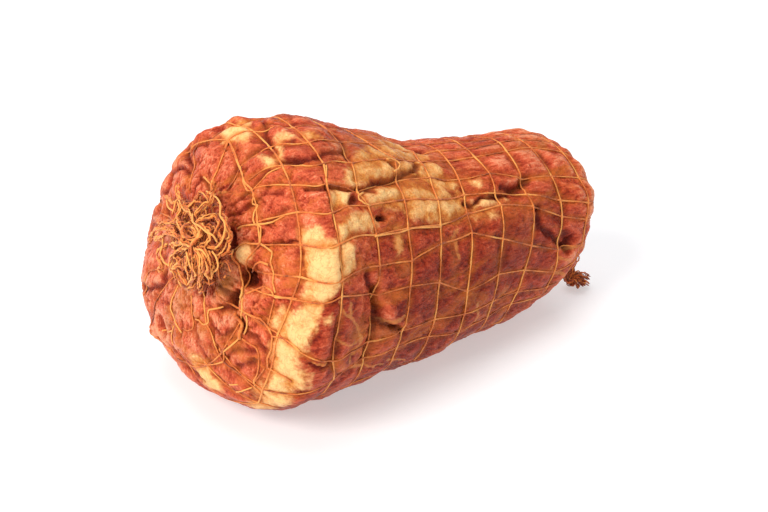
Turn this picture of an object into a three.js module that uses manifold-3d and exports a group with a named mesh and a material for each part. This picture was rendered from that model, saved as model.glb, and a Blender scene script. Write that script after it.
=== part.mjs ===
// Smoked boston butt: a boned pork shoulder, rolled and held in an elastic net that is
// gathered into a curly tuft at the thick end and a smaller one at the thin end.
// Millimetres, +Z up. +X runs along the roast from its thick end to its thin end.
// The origin is the middle of the underside.
import * as THREE from 'three';
import { mergeVertices } from 'three/addons/utils/BufferGeometryUtils.js';
import Module from 'manifold-3d';

const wasm = await Module();
wasm.setup();

// ---------------------------------------------------------------- driving dimensions

// The roast, as cross-sections at eight stations along X. Each is rounder at the back than
// at the front, so the two sides have widths of their own.
const roast = {
  halfLength: 125,
  stations: [-125, -80, -45, -10, 25, 60, 95, 125],
  halfHeight: [77, 75, 74.5, 67.5, 59.5, 57, 53.5, 59],
  frontWidth: [85, 84, 71, 67.5, 61, 49.5, 52.5, 62],
  backWidth: [85, 84, 78, 68.5, 60.5, 54, 44, 45],
  sideways: [16, -14, -16, -9.5, -4.5, -2, 12, 15],
  squareness: 2.25,
};

// The two rounded ends: how deep the rounding goes, how blunt it is, where its pole lies,
// and how the end face leans back with height and turns with width.
const thickEnd = { depth: 62, bluntness: 2.36, poleY: -21, poleZ: 99 };
const thickFace = { reach: 100, lean: 0.41, aboutZ: 75, turn: -0.07, aboutY: 0 };
const thinEnd = { depth: 53, bluntness: 2.5, poleY: 12, poleZ: 46 };
const thinFace = { reach: 80, lean: 0.24, aboutZ: 50, turn: -0.27, aboutY: 8 };

// Slow unevenness of the meat: height, waves along the roast and waves round it.
const unevenness = [
  { height: 0.5, waveLength: 83, wavesRound: 3, phase: 0.6 },
  { height: 0.4, waveLength: 57, wavesRound: 4, phase: 2.1 },
  { height: 0.3, waveLength: 41, wavesRound: 5, phase: 4.4 },
];

// Distances are measured along the surface from the pole of the thick end. Angles are in
// degrees round the roast: 90 is the top, 180 the front and 270 the underside.
// Each ring of the net leans towards the thin end, most where it faces the angle "toward".
const rings = [
  { at: 13, lean: 0, toward: 0 },
  { at: 26, lean: 0, toward: 0 },
  { at: 42, lean: 0, toward: 0 },
  { at: 62, lean: -2, toward: 110 },
  { at: 84, lean: 0, toward: 0 },
  { at: 117, lean: -6, toward: 150 },
  { at: 133.4, lean: 13.8, toward: 125 },
  { at: 157.3, lean: 12, toward: 125 },
  { at: 177.8, lean: 12, toward: 125 },
  { at: 200.6, lean: 11.5, toward: 125 },
  { at: 225, lean: 11, toward: 125 },
  { at: 244, lean: 10.5, toward: 140 },
  { at: 262, lean: 13, toward: 165 },
  { at: 283, lean: 7, toward: 165 },
  { at: 301, lean: 4, toward: 165 },
  { at: 318, lean: 0, toward: 0 },
];

// The strands run lengthwise, evenly spaced except where they wander over the front.
// Each route is a list of [distance, angle].
const strandCount = 18;
const firstStrand = 7.5;
const strandRoutes = new Map([
  [4, [[24, 96], [50, 91], [112, 92], [189, 88], [235, 91], [300, 102]]],
  [5, [[24, 118], [50, 112], [62, 104], [84, 108], [146, 108], [189, 104], [232, 105], [273, 114],
    [300, 125]]],
  [6, [[24, 140], [50, 139], [84, 134], [146, 126], [185, 124], [211, 128], [236, 133], [273, 143],
    [300, 146]]],
  [7, [[24, 157], [84, 155], [146, 148], [189, 144], [211, 142], [254, 143], [276, 152], [300, 158]]],
  [8, [[24, 174], [84, 171], [146, 161], [168, 160], [189, 154], [211, 150], [235, 158], [254, 167],
    [300, 172]]],
  [9, [[24, 191], [95, 190], [112, 184], [140, 173], [187, 172], [207, 179], [229, 179], [265, 190],
    [300, 193]]],
  [10, [[24, 208], [43, 207], [60, 213], [80, 219], [112, 214], [146, 208], [211, 210], [254, 207],
    [300, 212]]],
]);
const strandWander = 2.2;
const ringWander = 1.6;

// The net's cords, and how they sink into the meat.
const cord = { radius: 0.7, aboveGroove: 1.08, sink: 1.2 };
const swelling = { perWidth: 0.12, highest: 2.4, leastShare: 0.6, mostShare: 1.3 };
const grooveClearance = 2.2;
const cellSteps = 3;
const wideRow = { ring: 5, steps: 5 };
const wideColumn = { strand: 9, steps: 5 };
const endRows = 2;

// Hollows (negative) and lumps (positive) of the meat: distance and angle of the middle,
// half sizes along and round the roast, and height.
const relief = [
  { at: 56, angle: 168, along: 10, round: 13, height: -9 },
  { at: 52, angle: 186, along: 9, round: 9, height: -7 },
  { at: 38, angle: 150, along: 9, round: 10, height: -5 },
  { at: 33, angle: 196, along: 9, round: 10, height: -4 },
  { at: 118, angle: 131, along: 13, round: 10, height: -5 },
  { at: 163, angle: 124, along: 32, round: 6, height: -4 },
  { at: 151, angle: 142, along: 8, round: 7, height: -4 },
  { at: 244, angle: 136, along: 16, round: 6, height: -3.5 },
  { at: 134, angle: 180, along: 7, round: 22, height: -3 },
  { at: 111, angle: 190, along: 6, round: 26, height: -2.5 },
  { at: 279, angle: 171, along: 9, round: 8, height: -3 },
  { at: 49, angle: 281, along: 13, round: 13, height: -7 },
  { at: 149, angle: 187, along: 8, round: 12, height: 2.5 },
  { at: 100, angle: 157, along: 16, round: 16, height: 2 },
  { at: 92, angle: 190, along: 15, round: 26, height: 1.8 },
  { at: 178, angle: 112, along: 38, round: 15, height: 1.8 },
  { at: 190, angle: 133, along: 26, round: 10, height: 1.8 },
  { at: 292, angle: 150, along: 17, round: 16, height: 2.2 },
  { at: 76, angle: 82, along: 14, round: 15, height: 2.2 },
];

// The curly tufts where the net is gathered. Heights are above the meat, along the way out of
// the end face. Each has a turned lump as its core: it stands on the pole of the end and leans
// over, so that its middle is at "middle" (across the face and up it) from the height
// "asideFrom" on. The thick end's loops have their feet in the lump, no further out than
// "coreReach".
const thickTuft = {
  coreProfile: [[0, 0.5], [4, 0.5], [7, 4], [19, 5.4], [22, 8], [14, 12], [0, 14]],
  middle: [4, 4],
  asideFrom: 7,
  loops: 17,
  cordRadius: 1.25,
  footRadius: [4, 19],
  coreReach: 17.5,
  span: [9, 16],
  outward: [4, 14],
  height: [4, 12],
  footHeight: 4.3,
};
const thinTuft = {
  coreProfile: [[0, 0.5], [6, 0.5], [9, 4], [7, 8.5], [0, 10.5]],
  middle: [0, 0],
  asideFrom: 3,
  ends: 8,
  cordRadius: 1.4,
  spread: 12,
  restHeight: [3.5, 7],
  landing: [6, -8],
  splay: [12, 17],
};
const tuftSides = 5;
const tuftSteps = 7;
const coreSides = 14;
const probeReach = 80;

// ---------------------------------------------------------------- small helpers

const radians = THREE.MathUtils.degToRad;
const lerp = THREE.MathUtils.lerp;
const clamp = THREE.MathUtils.clamp;

// A repeatable stream of numbers from 0 to 1.
function dice(seed) {
  let state = seed;
  return () => {
    state = (state * 1664525 + 1013904223) % 4294967296;
    return state / 4294967296;
  };
}

// Straight interpolation through [position, value] pairs.
function along(pairs, position) {
  const last = pairs.length - 1;
  if (position <= pairs[0][0]) return pairs[0][1];
  if (position >= pairs[last][0]) return pairs[last][1];
  const k = pairs.findIndex((pair) => pair[0] > position);
  const [a, from] = pairs[k - 1];
  const [b, to] = pairs[k];
  return lerp(from, to, (position - a) / (b - a));
}

// A smooth curve through the stations.
function smoothCurve(positions, values, x) {
  const last = positions.length - 1;
  let k = 0;
  while (k < last - 1 && x > positions[k + 1]) k += 1;
  const slope = (i) => {
    const before = Math.max(i - 1, 0);
    const after = Math.min(i + 1, last);
    return (values[after] - values[before]) / (positions[after] - positions[before]);
  };
  const width = positions[k + 1] - positions[k];
  const s = (x - positions[k]) / width;
  const start = (2 * s ** 3 - 3 * s ** 2 + 1) * values[k] + (s ** 3 - 2 * s ** 2 + s) * width * slope(k);
  const end = (3 * s ** 2 - 2 * s ** 3) * values[k + 1] + (s ** 3 - s ** 2) * width * slope(k + 1);
  return start + end;
}

// ---------------------------------------------------------------- the meat's surface

// How far a section has opened out from the pole: 0 at the pole and 1 past the rounding.
function opening(distance, end) {
  const u = clamp(distance / end.depth, 0, 1);
  return (1 - (1 - u) ** end.bluntness) ** (1 / end.bluntness);
}

// A face leans most at its end of the roast and not at all past its reach.
function faceShift(distance, face, y, z) {
  const share = clamp(1 - distance / face.reach, 0, 1);
  const faded = share * share * (3 - 2 * share);
  return faded * (face.lean * (z - face.aboutZ) + face.turn * (y - face.aboutY));
}

// Distance along the surface at each of many positions along X, as pairs.
const distanceTable = (() => {
  const steps = 3000;
  const table = [];
  let distance = 0;
  let previous = null;
  for (let k = 0; k <= steps; k += 1) {
    const x = -roast.halfLength * Math.cos((Math.PI * k) / steps);
    const open = opening(x + roast.halfLength, thickEnd) * opening(roast.halfLength - x, thinEnd);
    const halfHeight = smoothCurve(roast.stations, roast.halfHeight, x);
    const frontWidth = smoothCurve(roast.stations, roast.frontWidth, x);
    const radius = (open * (halfHeight + frontWidth)) / 2;
    if (previous) distance += Math.hypot(x - previous.x, radius - previous.radius);
    previous = { x, radius };
    table.push([distance, x, radius]);
  }
  return table;
})();
const fullDistance = distanceTable[distanceTable.length - 1][0];

// The row of the table at a distance, interpolated: its position along X and its radius.
function atDistance(distance) {
  const wanted = clamp(distance, 0, fullDistance);
  let low = 0;
  let high = distanceTable.length - 1;
  while (high - low > 1) {
    const middle = (low + high) >> 1;
    if (distanceTable[middle][0] > wanted) high = middle;
    else low = middle;
  }
  const [a, xa, ra] = distanceTable[low];
  const [b, xb, rb] = distanceTable[high];
  const share = (wanted - a) / Math.max(b - a, 1e-9);
  return { x: lerp(xa, xb, share), radius: lerp(ra, rb, share) };
}

function plainPoint(distance, angle) {
  const { x } = atDistance(distance);
  const t = radians(angle);
  const halfHeight = smoothCurve(roast.stations, roast.halfHeight, x);
  const widths = Math.cos(t) > 0 ? roast.backWidth : roast.frontWidth;
  const width = smoothCurve(roast.stations, widths, x);
  const sideways = smoothCurve(roast.stations, roast.sideways, x);
  const n = roast.squareness;
  const k = (Math.abs(Math.cos(t)) ** n + Math.abs(Math.sin(t)) ** n) ** (-1 / n);
  const near = opening(x + roast.halfLength, thickEnd);
  const far = opening(roast.halfLength - x, thinEnd);
  let y = sideways + width * k * Math.cos(t);
  let z = halfHeight + halfHeight * k * Math.sin(t);
  y = lerp(thinEnd.poleY, lerp(thickEnd.poleY, y, near), far);
  z = lerp(thinEnd.poleZ, lerp(thickEnd.poleZ, z, near), far);
  const shift = faceShift(x + roast.halfLength, thickFace, y, z)
    + faceShift(roast.halfLength - x, thinFace, y, z);
  return new THREE.Vector3(x + shift, y, z);
}

// Directions at a point: round the roast, along it, and out of it.
function directions(distance, angle) {
  const d = clamp(distance, 1, fullDistance - 1);
  const round = plainPoint(d, angle + 0.6).sub(plainPoint(d, angle - 0.6)).normalize();
  const onward = plainPoint(d + 0.6, angle).sub(plainPoint(d - 0.6, angle));
  const out = round.clone().cross(onward).normalize();
  return { round, onward: out.clone().cross(round), out };
}

function unevenHeight(distance, angle) {
  const quietEnds = Math.sin((Math.PI * distance) / fullDistance);
  let height = 0;
  for (const wave of unevenness) {
    const turn = wave.wavesRound * radians(angle) + wave.phase;
    height += wave.height * Math.sin((2 * Math.PI * distance) / wave.waveLength + turn);
  }
  return height * quietEnds;
}

// The surface that the net lies on, before the meat swells between its cords.
function surfacePoint(distance, angle) {
  const { out } = directions(distance, angle);
  return plainPoint(distance, angle).addScaledVector(out, unevenHeight(distance, angle) - cord.sink);
}

function reliefHeight(distance, angle) {
  const { radius } = atDistance(distance);
  let height = 0;
  for (const spot of relief) {
    const turned = ((angle - spot.angle + 540) % 360) - 180;
    const q = Math.hypot((distance - spot.at) / spot.along, (radians(turned) * radius) / spot.round);
    if (q < 1) height += spot.height * (1 - q * q) ** 2;
  }
  return height;
}

// ---------------------------------------------------------------- where the net crosses

function ringDistance(ring, angle) {
  return ring.at + ring.lean * Math.max(0, Math.cos(radians(angle - ring.toward)));
}

function strandAngle(strand, distance) {
  const route = strandRoutes.get(strand);
  return route ? along(route, distance) : firstStrand + (360 / strandCount) * strand;
}

// Every crossing: its distance and angle, its point on the surface and its directions.
const crossings = (() => {
  const wander = dice(11);
  return rings.map((ring) => {
    const row = [];
    for (let strand = 0; strand < strandCount; strand += 1) {
      let angle = firstStrand + (360 / strandCount) * strand;
      let distance = ring.at;
      for (let pass = 0; pass < 4; pass += 1) {
        distance = ringDistance(ring, angle);
        angle = strandAngle(strand, distance);
      }
      angle += strandWander * (wander() - 0.5);
      distance += ringWander * (wander() - 0.5);
      const point = surfacePoint(distance, angle);
      point.z = Math.max(point.z, grooveClearance);
      row.push({ distance, angle, point, ...directions(distance, angle) });
    }
    return row;
  });
})();

// The crossing at a strand number that may have gone once round.
function crossing(ring, strand) {
  const spot = crossings[ring][strand % strandCount];
  const turns = 360 * Math.floor(strand / strandCount);
  return { ...spot, angle: spot.angle + turns };
}

// ---------------------------------------------------------------- the pork

// A point of the meat inside the cell of the net that starts at a crossing.
function cellPoint(ring, strand, shareRound, shareAlong, fullness) {
  const a = crossing(ring, strand);
  const b = crossing(ring, strand + 1);
  const c = crossing(ring + 1, strand + 1);
  const d = crossing(ring + 1, strand);
  const mix = (key) => lerp(lerp(a[key], b[key], shareRound), lerp(d[key], c[key], shareRound), shareAlong);
  const distance = mix('distance');
  const angle = mix('angle');
  const { out } = directions(distance, angle);
  const height = reliefHeight(distance, angle);
  const onCord = shareRound === 0 || shareAlong === 0;
  if (onCord) {
    const point = shareRound === 0
      ? a.point.clone().lerp(d.point, shareAlong)
      : a.point.clone().lerp(b.point, shareRound);
    point.addScaledVector(out, Math.min(height, 0));
    point.z = Math.max(point.z, grooveClearance);
    return point;
  }
  const width = Math.min(a.point.distanceTo(b.point), a.point.distanceTo(d.point));
  const most = Math.min(swelling.perWidth * width, swelling.highest) * fullness;
  const swell = most * Math.sqrt(Math.sin(Math.PI * shareRound) * Math.sin(Math.PI * shareAlong));
  const point = surfacePoint(distance, angle).addScaledVector(out, swell + height);
  point.z = Math.max(point.z, 0);
  return point;
}

// The columns of the meat's skin: a strand number and the share of the way to the next.
const columns = Array.from({ length: strandCount }, (unused, strand) => {
  const steps = strand === wideColumn.strand ? wideColumn.steps : cellSteps;
  return Array.from({ length: steps }, (none, k) => ({ strand, share: k / steps }));
}).flat();

// A row between a pole and the first or last ring, at a share of the way from the pole.
function endRow(ring, share) {
  return columns.map((column) => {
    const a = crossing(ring, column.strand);
    const b = crossing(ring, column.strand + 1);
    const angle = lerp(a.angle, b.angle, column.share);
    const pole = ring === 0 ? 0 : fullDistance;
    return surfacePoint(lerp(pole, lerp(a.distance, b.distance, column.share), share), angle);
  });
}

// Rows of points round the roast, from one pole to the other.
function porkRows() {
  const fullness = dice(5);
  const { leastShare, mostShare } = swelling;
  const shares = crossings.map((row) => row.map(() => lerp(leastShare, mostShare, fullness())));
  const last = rings.length - 1;
  const rows = [];
  for (let k = 1; k < endRows; k += 1) rows.push(endRow(0, k / endRows));
  for (let ring = 0; ring < last; ring += 1) {
    const steps = ring === wideRow.ring ? wideRow.steps : cellSteps;
    for (let step = 0; step < steps; step += 1) {
      rows.push(columns.map(({ strand, share }) => (
        cellPoint(ring, strand, share, step / steps, shares[ring][strand]))));
    }
  }
  rows.push(columns.map(({ strand, share }) => (
    crossing(last, strand).point.clone().lerp(crossing(last, strand + 1).point, share))));
  for (let k = endRows - 1; k > 0; k -= 1) rows.push(endRow(last, k / endRows));
  return rows;
}

function geometryFrom(points, triangles) {
  const geometry = new THREE.BufferGeometry();
  const positions = points.flatMap((point) => [point.x, point.y, point.z]);
  geometry.setAttribute('position', new THREE.Float32BufferAttribute(positions, 3));
  geometry.setIndex(triangles);
  geometry.computeVertexNormals();
  return geometry;
}

function porkGeometry() {
  const rows = porkRows();
  const width = columns.length;
  const nearPole = rows.length * width;
  const farPole = nearPole + 1;
  const points = [...rows.flat(), surfacePoint(0, 90), surfacePoint(fullDistance, 90)];
  const triangles = [];
  for (let c = 0; c < width; c += 1) {
    const next = (c + 1) % width;
    const lastRow = (rows.length - 1) * width;
    triangles.push(nearPole, next, c);
    triangles.push(farPole, lastRow + c, lastRow + next);
    for (let r = 0; r < rows.length - 1; r += 1) {
      const a = r * width + c;
      const b = r * width + next;
      triangles.push(a, b, b + width);
      triangles.push(a, b + width, a + width);
    }
  }
  return geometryFrom(points, triangles);
}

// ---------------------------------------------------------------- the netting

// Each crossing has a top, a bottom and four corners between its cords. Two corners, the
// top and the bottom make the diamond end of each cord, so all the cords share one skin.
function nettingGeometry() {
  const points = [];
  const triangles = [];
  const corner = { top: 0, bottom: 1, aheadLeft: 2, aheadRight: 3, backLeft: 4, backRight: 5 };
  const cornerCount = 6;
  const index = (ring, strand, name) => {
    const place = ring * strandCount + (strand % strandCount);
    return place * cornerCount + corner[name];
  };
  for (const row of crossings) {
    for (const spot of row) {
      const middle = spot.point.clone().addScaledVector(spot.out, cord.aboveGroove);
      const side = (round, onward) => middle.clone()
        .addScaledVector(spot.round, round * cord.radius)
        .addScaledVector(spot.onward, onward * cord.radius);
      points.push(middle.clone().addScaledVector(spot.out, cord.radius));
      points.push(middle.clone().addScaledVector(spot.out, -cord.radius));
      points.push(side(1, 1), side(1, -1), side(-1, 1), side(-1, -1));
    }
  }
  // "ahead" is the way round the roast, and "left" the way along it to the thin end.
  const join = (startRing, startStrand, startNames, endRing, endStrand, endNames) => {
    for (let k = 0; k < 4; k += 1) {
      const a = index(startRing, startStrand, startNames[k]);
      const b = index(startRing, startStrand, startNames[(k + 1) % 4]);
      const c = index(endRing, endStrand, endNames[(k + 1) % 4]);
      const d = index(endRing, endStrand, endNames[k]);
      triangles.push(a, d, c);
      triangles.push(a, c, b);
    }
  };
  const close = (ring, strand, names) => {
    const [a, b, c, d] = names.map((name) => index(ring, strand, name));
    triangles.push(a, b, c);
    triangles.push(a, c, d);
  };
  const aheadPort = ['top', 'aheadLeft', 'bottom', 'aheadRight'];
  const behindPort = ['top', 'backLeft', 'bottom', 'backRight'];
  const farPort = ['top', 'backLeft', 'bottom', 'aheadLeft'];
  const nearPort = ['top', 'backRight', 'bottom', 'aheadRight'];
  const last = rings.length - 1;
  for (let strand = 0; strand < strandCount; strand += 1) {
    for (let ring = 0; ring <= last; ring += 1) {
      join(ring, strand, aheadPort, ring, strand + 1, behindPort);
      if (ring < last) join(ring, strand, farPort, ring + 1, strand, nearPort);
    }
    close(0, strand, ['top', 'backRight', 'bottom', 'aheadRight']);
    close(last, strand, ['top', 'aheadLeft', 'bottom', 'backLeft']);
  }
  return geometryFrom(points, triangles);
}

// ---------------------------------------------------------------- the gathered tufts

// A frame on an end face: its pole, two directions across the face and the way out. "place"
// gives the point at a height over the meat, at x across the face and y up it. It looks for
// the meat from "probeReach" off the face.
function faceFrame(distance, meat) {
  const inside = clamp(distance, 3, fullDistance - 3);
  const out = new THREE.Vector3();
  for (let angle = 0; angle < 360; angle += 30) out.add(directions(inside, angle).out);
  out.normalize();
  const across = new THREE.Vector3(0, 0, 1).cross(out).normalize();
  const up = out.clone().cross(across);
  const pole = surfacePoint(distance, 90);
  const probe = new THREE.Raycaster();
  const place = (x, y, height) => {
    const start = pole.clone().addScaledVector(out, probeReach)
      .addScaledVector(across, x).addScaledVector(up, y);
    probe.set(start, out.clone().negate());
    const [hit] = probe.intersectObject(meat);
    return hit.point.addScaledVector(out, height);
  };
  return { pole, out, place };
}

function closedSolid(geometry) {
  const bare = geometry.clone();
  bare.deleteAttribute('normal');
  bare.deleteAttribute('uv');
  const merged = mergeVertices(bare, 1e-4);
  const vertProperties = new Float32Array(merged.attributes.position.array);
  const triVerts = new Uint32Array(merged.index.array);
  return new wasm.Manifold(new wasm.Mesh({ numProp: 3, vertProperties, triVerts }));
}

// The outer skin of a fused solid. A hollow that its cords seal off is filled, so only the
// largest set of joined triangles is kept.
function solidGeometry(solid) {
  const { vertProperties, triVerts } = solid.getMesh();
  const leader = Array.from({ length: vertProperties.length / 3 }, (unused, k) => k);
  const find = (start) => {
    let k = start;
    while (leader[k] !== k) k = leader[k];
    return k;
  };
  for (let k = 0; k < triVerts.length; k += 3) {
    leader[find(triVerts[k + 1])] = find(triVerts[k]);
    leader[find(triVerts[k + 2])] = find(triVerts[k]);
  }
  const skins = new Map();
  for (let k = 0; k < triVerts.length; k += 3) {
    const skin = find(triVerts[k]);
    if (!skins.has(skin)) skins.set(skin, []);
    skins.get(skin).push(triVerts[k], triVerts[k + 1], triVerts[k + 2]);
  }
  const outer = [...skins.values()].reduce((a, b) => (b.length > a.length ? b : a));
  const geometry = new THREE.BufferGeometry();
  geometry.setAttribute('position', new THREE.Float32BufferAttribute(vertProperties, 3));
  geometry.setIndex(outer);
  return mergeVertices(geometry, 1e-4);
}

function cordSolid(points, radius) {
  const outline = new THREE.Shape();
  for (let k = 0; k < tuftSides; k += 1) {
    const turn = (2 * Math.PI * k) / tuftSides;
    const x = radius * Math.cos(turn);
    const y = radius * Math.sin(turn);
    if (k === 0) outline.moveTo(x, y);
    else outline.lineTo(x, y);
  }
  const extrudePath = new THREE.CatmullRomCurve3(points);
  const geometry = new THREE.ExtrudeGeometry(outline, { steps: tuftSteps, extrudePath, bevelEnabled: false });
  return closedSolid(geometry);
}

// The knot in the middle of a tuft: a turned lump with its rim broken up.
function coreSolid(tuft, frame, seed) {
  const roll = dice(seed);
  const [middleX, middleY] = tuft.middle;
  const outline = tuft.coreProfile.map(([radius, height]) => new THREE.Vector2(radius, height));
  const geometry = new THREE.LatheGeometry(outline, coreSides);
  geometry.deleteAttribute('normal');
  geometry.deleteAttribute('uv');
  const merged = mergeVertices(geometry, 1e-4);
  const position = merged.attributes.position;
  for (let k = 0; k < position.count; k += 1) {
    const radius = Math.hypot(position.getX(k), position.getZ(k));
    const height = position.getY(k);
    const grow = radius > 1 && height > 2 ? lerp(0.84, 1.06, roll()) : 1;
    const aside = clamp(height / tuft.asideFrom, 0, 1);
    const x = middleX * aside + position.getX(k) * grow;
    const y = middleY * aside - position.getZ(k) * grow;
    const point = frame.place(x, y, height);
    position.setXYZ(k, point.x, point.y, point.z);
  }
  return closedSolid(merged);
}

const between = (range, share) => lerp(range[0], range[1], share);

function thickTuftGeometry(meat) {
  const frame = faceFrame(0, meat);
  const roll = dice(23);
  const goldenTurn = Math.PI * (3 - Math.sqrt(5));
  const [middleX, middleY] = thickTuft.middle;
  let solid = coreSolid(thickTuft, frame, 3);
  for (let k = 0; k < thickTuft.loops; k += 1) {
    const share = Math.sqrt((k + 0.5) / thickTuft.loops);
    const turn = goldenTurn * k + 0.5 * roll();
    const foot = between(thickTuft.footRadius, share);
    const span = between(thickTuft.span, roll());
    const outward = between(thickTuft.outward, share * roll() + 0.35 * share);
    const height = between(thickTuft.height, 0.35 * roll() + 0.65 * (1 - share * share));
    const isFreeEnd = k % 4 === 1;
    const lastTurn = isFreeEnd ? 0.62 : 1;
    const steps = 6;
    const points = [];
    for (let j = 0; j <= steps; j += 1) {
      const bend = (Math.PI * lastTurn * j) / steps;
      const radius = foot + outward * Math.sin(bend);
      const sideways = (-span / 2) * Math.cos(bend) * (1 + 0.25 * Math.sin(bend));
      const x = radius * Math.cos(turn) - sideways * Math.sin(turn);
      const y = radius * Math.sin(turn) + sideways * Math.cos(turn);
      const shortfall = Math.min(1, thickTuft.coreReach / Math.hypot(x, y));
      const isFoot = j === 0 || (j === steps && !isFreeEnd);
      const pull = isFoot ? shortfall : 1;
      const rise = thickTuft.footHeight + height * Math.sin(bend);
      points.push(frame.place(middleX + x * pull, middleY + y * pull, rise));
    }
    solid = solid.add(cordSolid(points, thickTuft.cordRadius));
  }
  return solidGeometry(solid);
}

// The cords of the thin end hang down its face and splay out where they reach the ground.
function thinTuftGeometry(meat) {
  const frame = faceFrame(fullDistance, meat);
  const roll = dice(41);
  const [landingX, landingY] = thinTuft.landing;
  let solid = coreSolid(thinTuft, frame, 7);
  for (let k = 0; k < thinTuft.ends; k += 1) {
    const share = k / (thinTuft.ends - 1) - 0.5;
    const side = thinTuft.spread * share;
    const start = frame.place(side * 0.4, 0, 5);
    const shoulder = frame.place(side * 0.5, -1 - 2 * roll(), 9 + 2 * roll());
    const landing = new THREE.Vector3(frame.pole.x + landingX + 2 * roll(),
      frame.pole.y + landingY + side * 0.35, between(thinTuft.restHeight, roll()));
    const hang = shoulder.clone().lerp(landing, 0.5);
    hang.x += 3;
    const turn = radians(-70 + 75 * (share + 0.5));
    const tip = landing.clone();
    const splay = between(thinTuft.splay, roll());
    tip.x += splay * Math.cos(turn);
    tip.y += splay * Math.sin(turn) * 0.6;
    tip.z = between(thinTuft.restHeight, roll());
    solid = solid.add(cordSolid([start, shoulder, hang, landing, tip], thinTuft.cordRadius));
  }
  return solidGeometry(solid);
}

// ---------------------------------------------------------------- the whole object

function namedMesh(name, geometry, color, roughness) {
  const material = new THREE.MeshStandardMaterial({ color, roughness, metalness: 0 });
  const mesh = new THREE.Mesh(geometry, material);
  mesh.name = name;
  return mesh;
}

const group = new THREE.Group();
const pork = namedMesh('pork', porkGeometry(), 0xa84a34, 0.45);
group.add(pork);
group.add(namedMesh('netting', nettingGeometry(), 0xd0803c, 0.6));
group.add(namedMesh('near_tuft', thickTuftGeometry(pork), 0xcc7a3c, 0.65));
group.add(namedMesh('far_tuft', thinTuftGeometry(pork), 0x9c5a34, 0.65));

// The origin goes to the middle of the underside.
const extent = new THREE.Box3().setFromObject(group);
const middle = extent.getCenter(new THREE.Vector3());
group.position.set(-middle.x, -middle.y, -extent.min.z);
group.updateMatrixWorld(true);

export default group;
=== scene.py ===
import math
import bpy
import numpy as np
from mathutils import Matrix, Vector, noise
from mathutils.bvhtree import BVHTree
from mathutils.kdtree import KDTree


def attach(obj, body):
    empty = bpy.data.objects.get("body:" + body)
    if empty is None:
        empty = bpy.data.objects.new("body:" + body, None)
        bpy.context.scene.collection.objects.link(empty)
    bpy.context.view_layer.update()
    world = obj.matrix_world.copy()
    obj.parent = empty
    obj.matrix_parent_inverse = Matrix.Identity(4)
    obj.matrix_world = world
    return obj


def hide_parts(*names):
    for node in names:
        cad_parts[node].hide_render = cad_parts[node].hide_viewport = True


# A smoked boston butt in its elastic net. The meat, the net and its two gathered ends are
# made round the solids of the frame. Shapes are worked out in mm and turned to metres last.
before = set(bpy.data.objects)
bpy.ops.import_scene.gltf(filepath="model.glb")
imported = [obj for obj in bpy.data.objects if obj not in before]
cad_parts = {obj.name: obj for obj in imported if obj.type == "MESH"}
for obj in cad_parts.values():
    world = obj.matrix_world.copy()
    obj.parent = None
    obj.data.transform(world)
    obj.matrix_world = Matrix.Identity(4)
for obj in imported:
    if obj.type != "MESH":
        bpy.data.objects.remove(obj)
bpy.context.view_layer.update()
scene = bpy.context.scene
metres = 0.001


def linear(hexColour):
    channels = [int(hexColour[k:k + 2], 16) / 255 for k in (1, 3, 5)]
    return tuple(c / 12.92 if c <= 0.04045 else ((c + 0.055) / 1.055) ** 2.4 for c in channels) + (1.0,)


def perMm(size):  # the scale of a pattern whose features are that many mm across
    return 1 / (size * metres)


def addNode(tree, kind, settings=None, inputs=None):
    node = tree.nodes.new(kind)
    for name, value in (settings or {}).items():
        if name == "stops":
            ramp = node.color_ramp
            while len(ramp.elements) < len(value):
                ramp.elements.new(0.5)
            for element, (place, colour) in zip(ramp.elements, value):
                element.position = place
                element.color = linear(colour)
        else:
            setattr(node, name, value)
    for socket, value in (inputs or {}).items():
        if isinstance(value, bpy.types.NodeSocket):
            tree.links.new(value, node.inputs[socket])
        else:
            node.inputs[socket].default_value = value
    return node


roast = {
    "halfLength": 125.0,
    "stations": [-125, -80, -45, -10, 25, 60, 95, 125],
    "halfHeight": [77, 75, 74.5, 67.5, 59.5, 57, 53.5, 59],
    "frontWidth": [85, 84, 71, 67.5, 61, 49.5, 52.5, 62],
    "backWidth": [85, 84, 78, 68.5, 60.5, 54, 44, 45],
    "sideways": [16, -14, -16, -9.5, -4.5, -2, 12, 15],
    "squareness": 2.25,
    "origin": (-5.4795, 13.845612, 0.0),  # from the shape's own middle to the frame's origin
    "sink": 1.2,
    "probe": 0.6,  # mm and degrees to either side, to find which way the form faces
}
thickEnd = {"depth": 62, "bluntness": 2.36, "poleY": -21, "poleZ": 99,
            "reach": 100, "lean": 0.41, "aboutZ": 75, "turn": -0.07, "aboutY": 0}
thinEnd = {"depth": 53, "bluntness": 2.5, "poleY": 12, "poleZ": 46,
           "reach": 80, "lean": 0.24, "aboutZ": 50, "turn": -0.27, "aboutY": 8}
unevenness = [(0.5, 83, 3, 0.6), (0.4, 57, 4, 2.1), (0.3, 41, 5, 4.4)]  # height, length, turns, phase


def smoothStep(x):
    x = np.clip(x, 0, 1)
    return x * x * (3 - 2 * x)


def smoothCurve(key, x):
    at = np.array(roast["stations"], float)
    value = np.array(roast[key], float)
    order = np.arange(len(at))
    before, after = np.maximum(order - 1, 0), np.minimum(order + 1, len(at) - 1)
    slope = (value[after] - value[before]) / (at[after] - at[before])
    k = np.searchsorted(at[1:-1], x, side="left")
    width = at[k + 1] - at[k]
    s = (x - at[k]) / width
    start = (2 * s**3 - 3 * s**2 + 1) * value[k] + (s**3 - 2 * s**2 + s) * width * slope[k]
    return start + (3 * s**2 - 2 * s**3) * value[k + 1] + (s**3 - s**2) * width * slope[k + 1]


def opening(depth, end):
    u = np.clip(depth / end["depth"], 0, 1)
    return (1 - (1 - u) ** end["bluntness"]) ** (1 / end["bluntness"])


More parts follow.
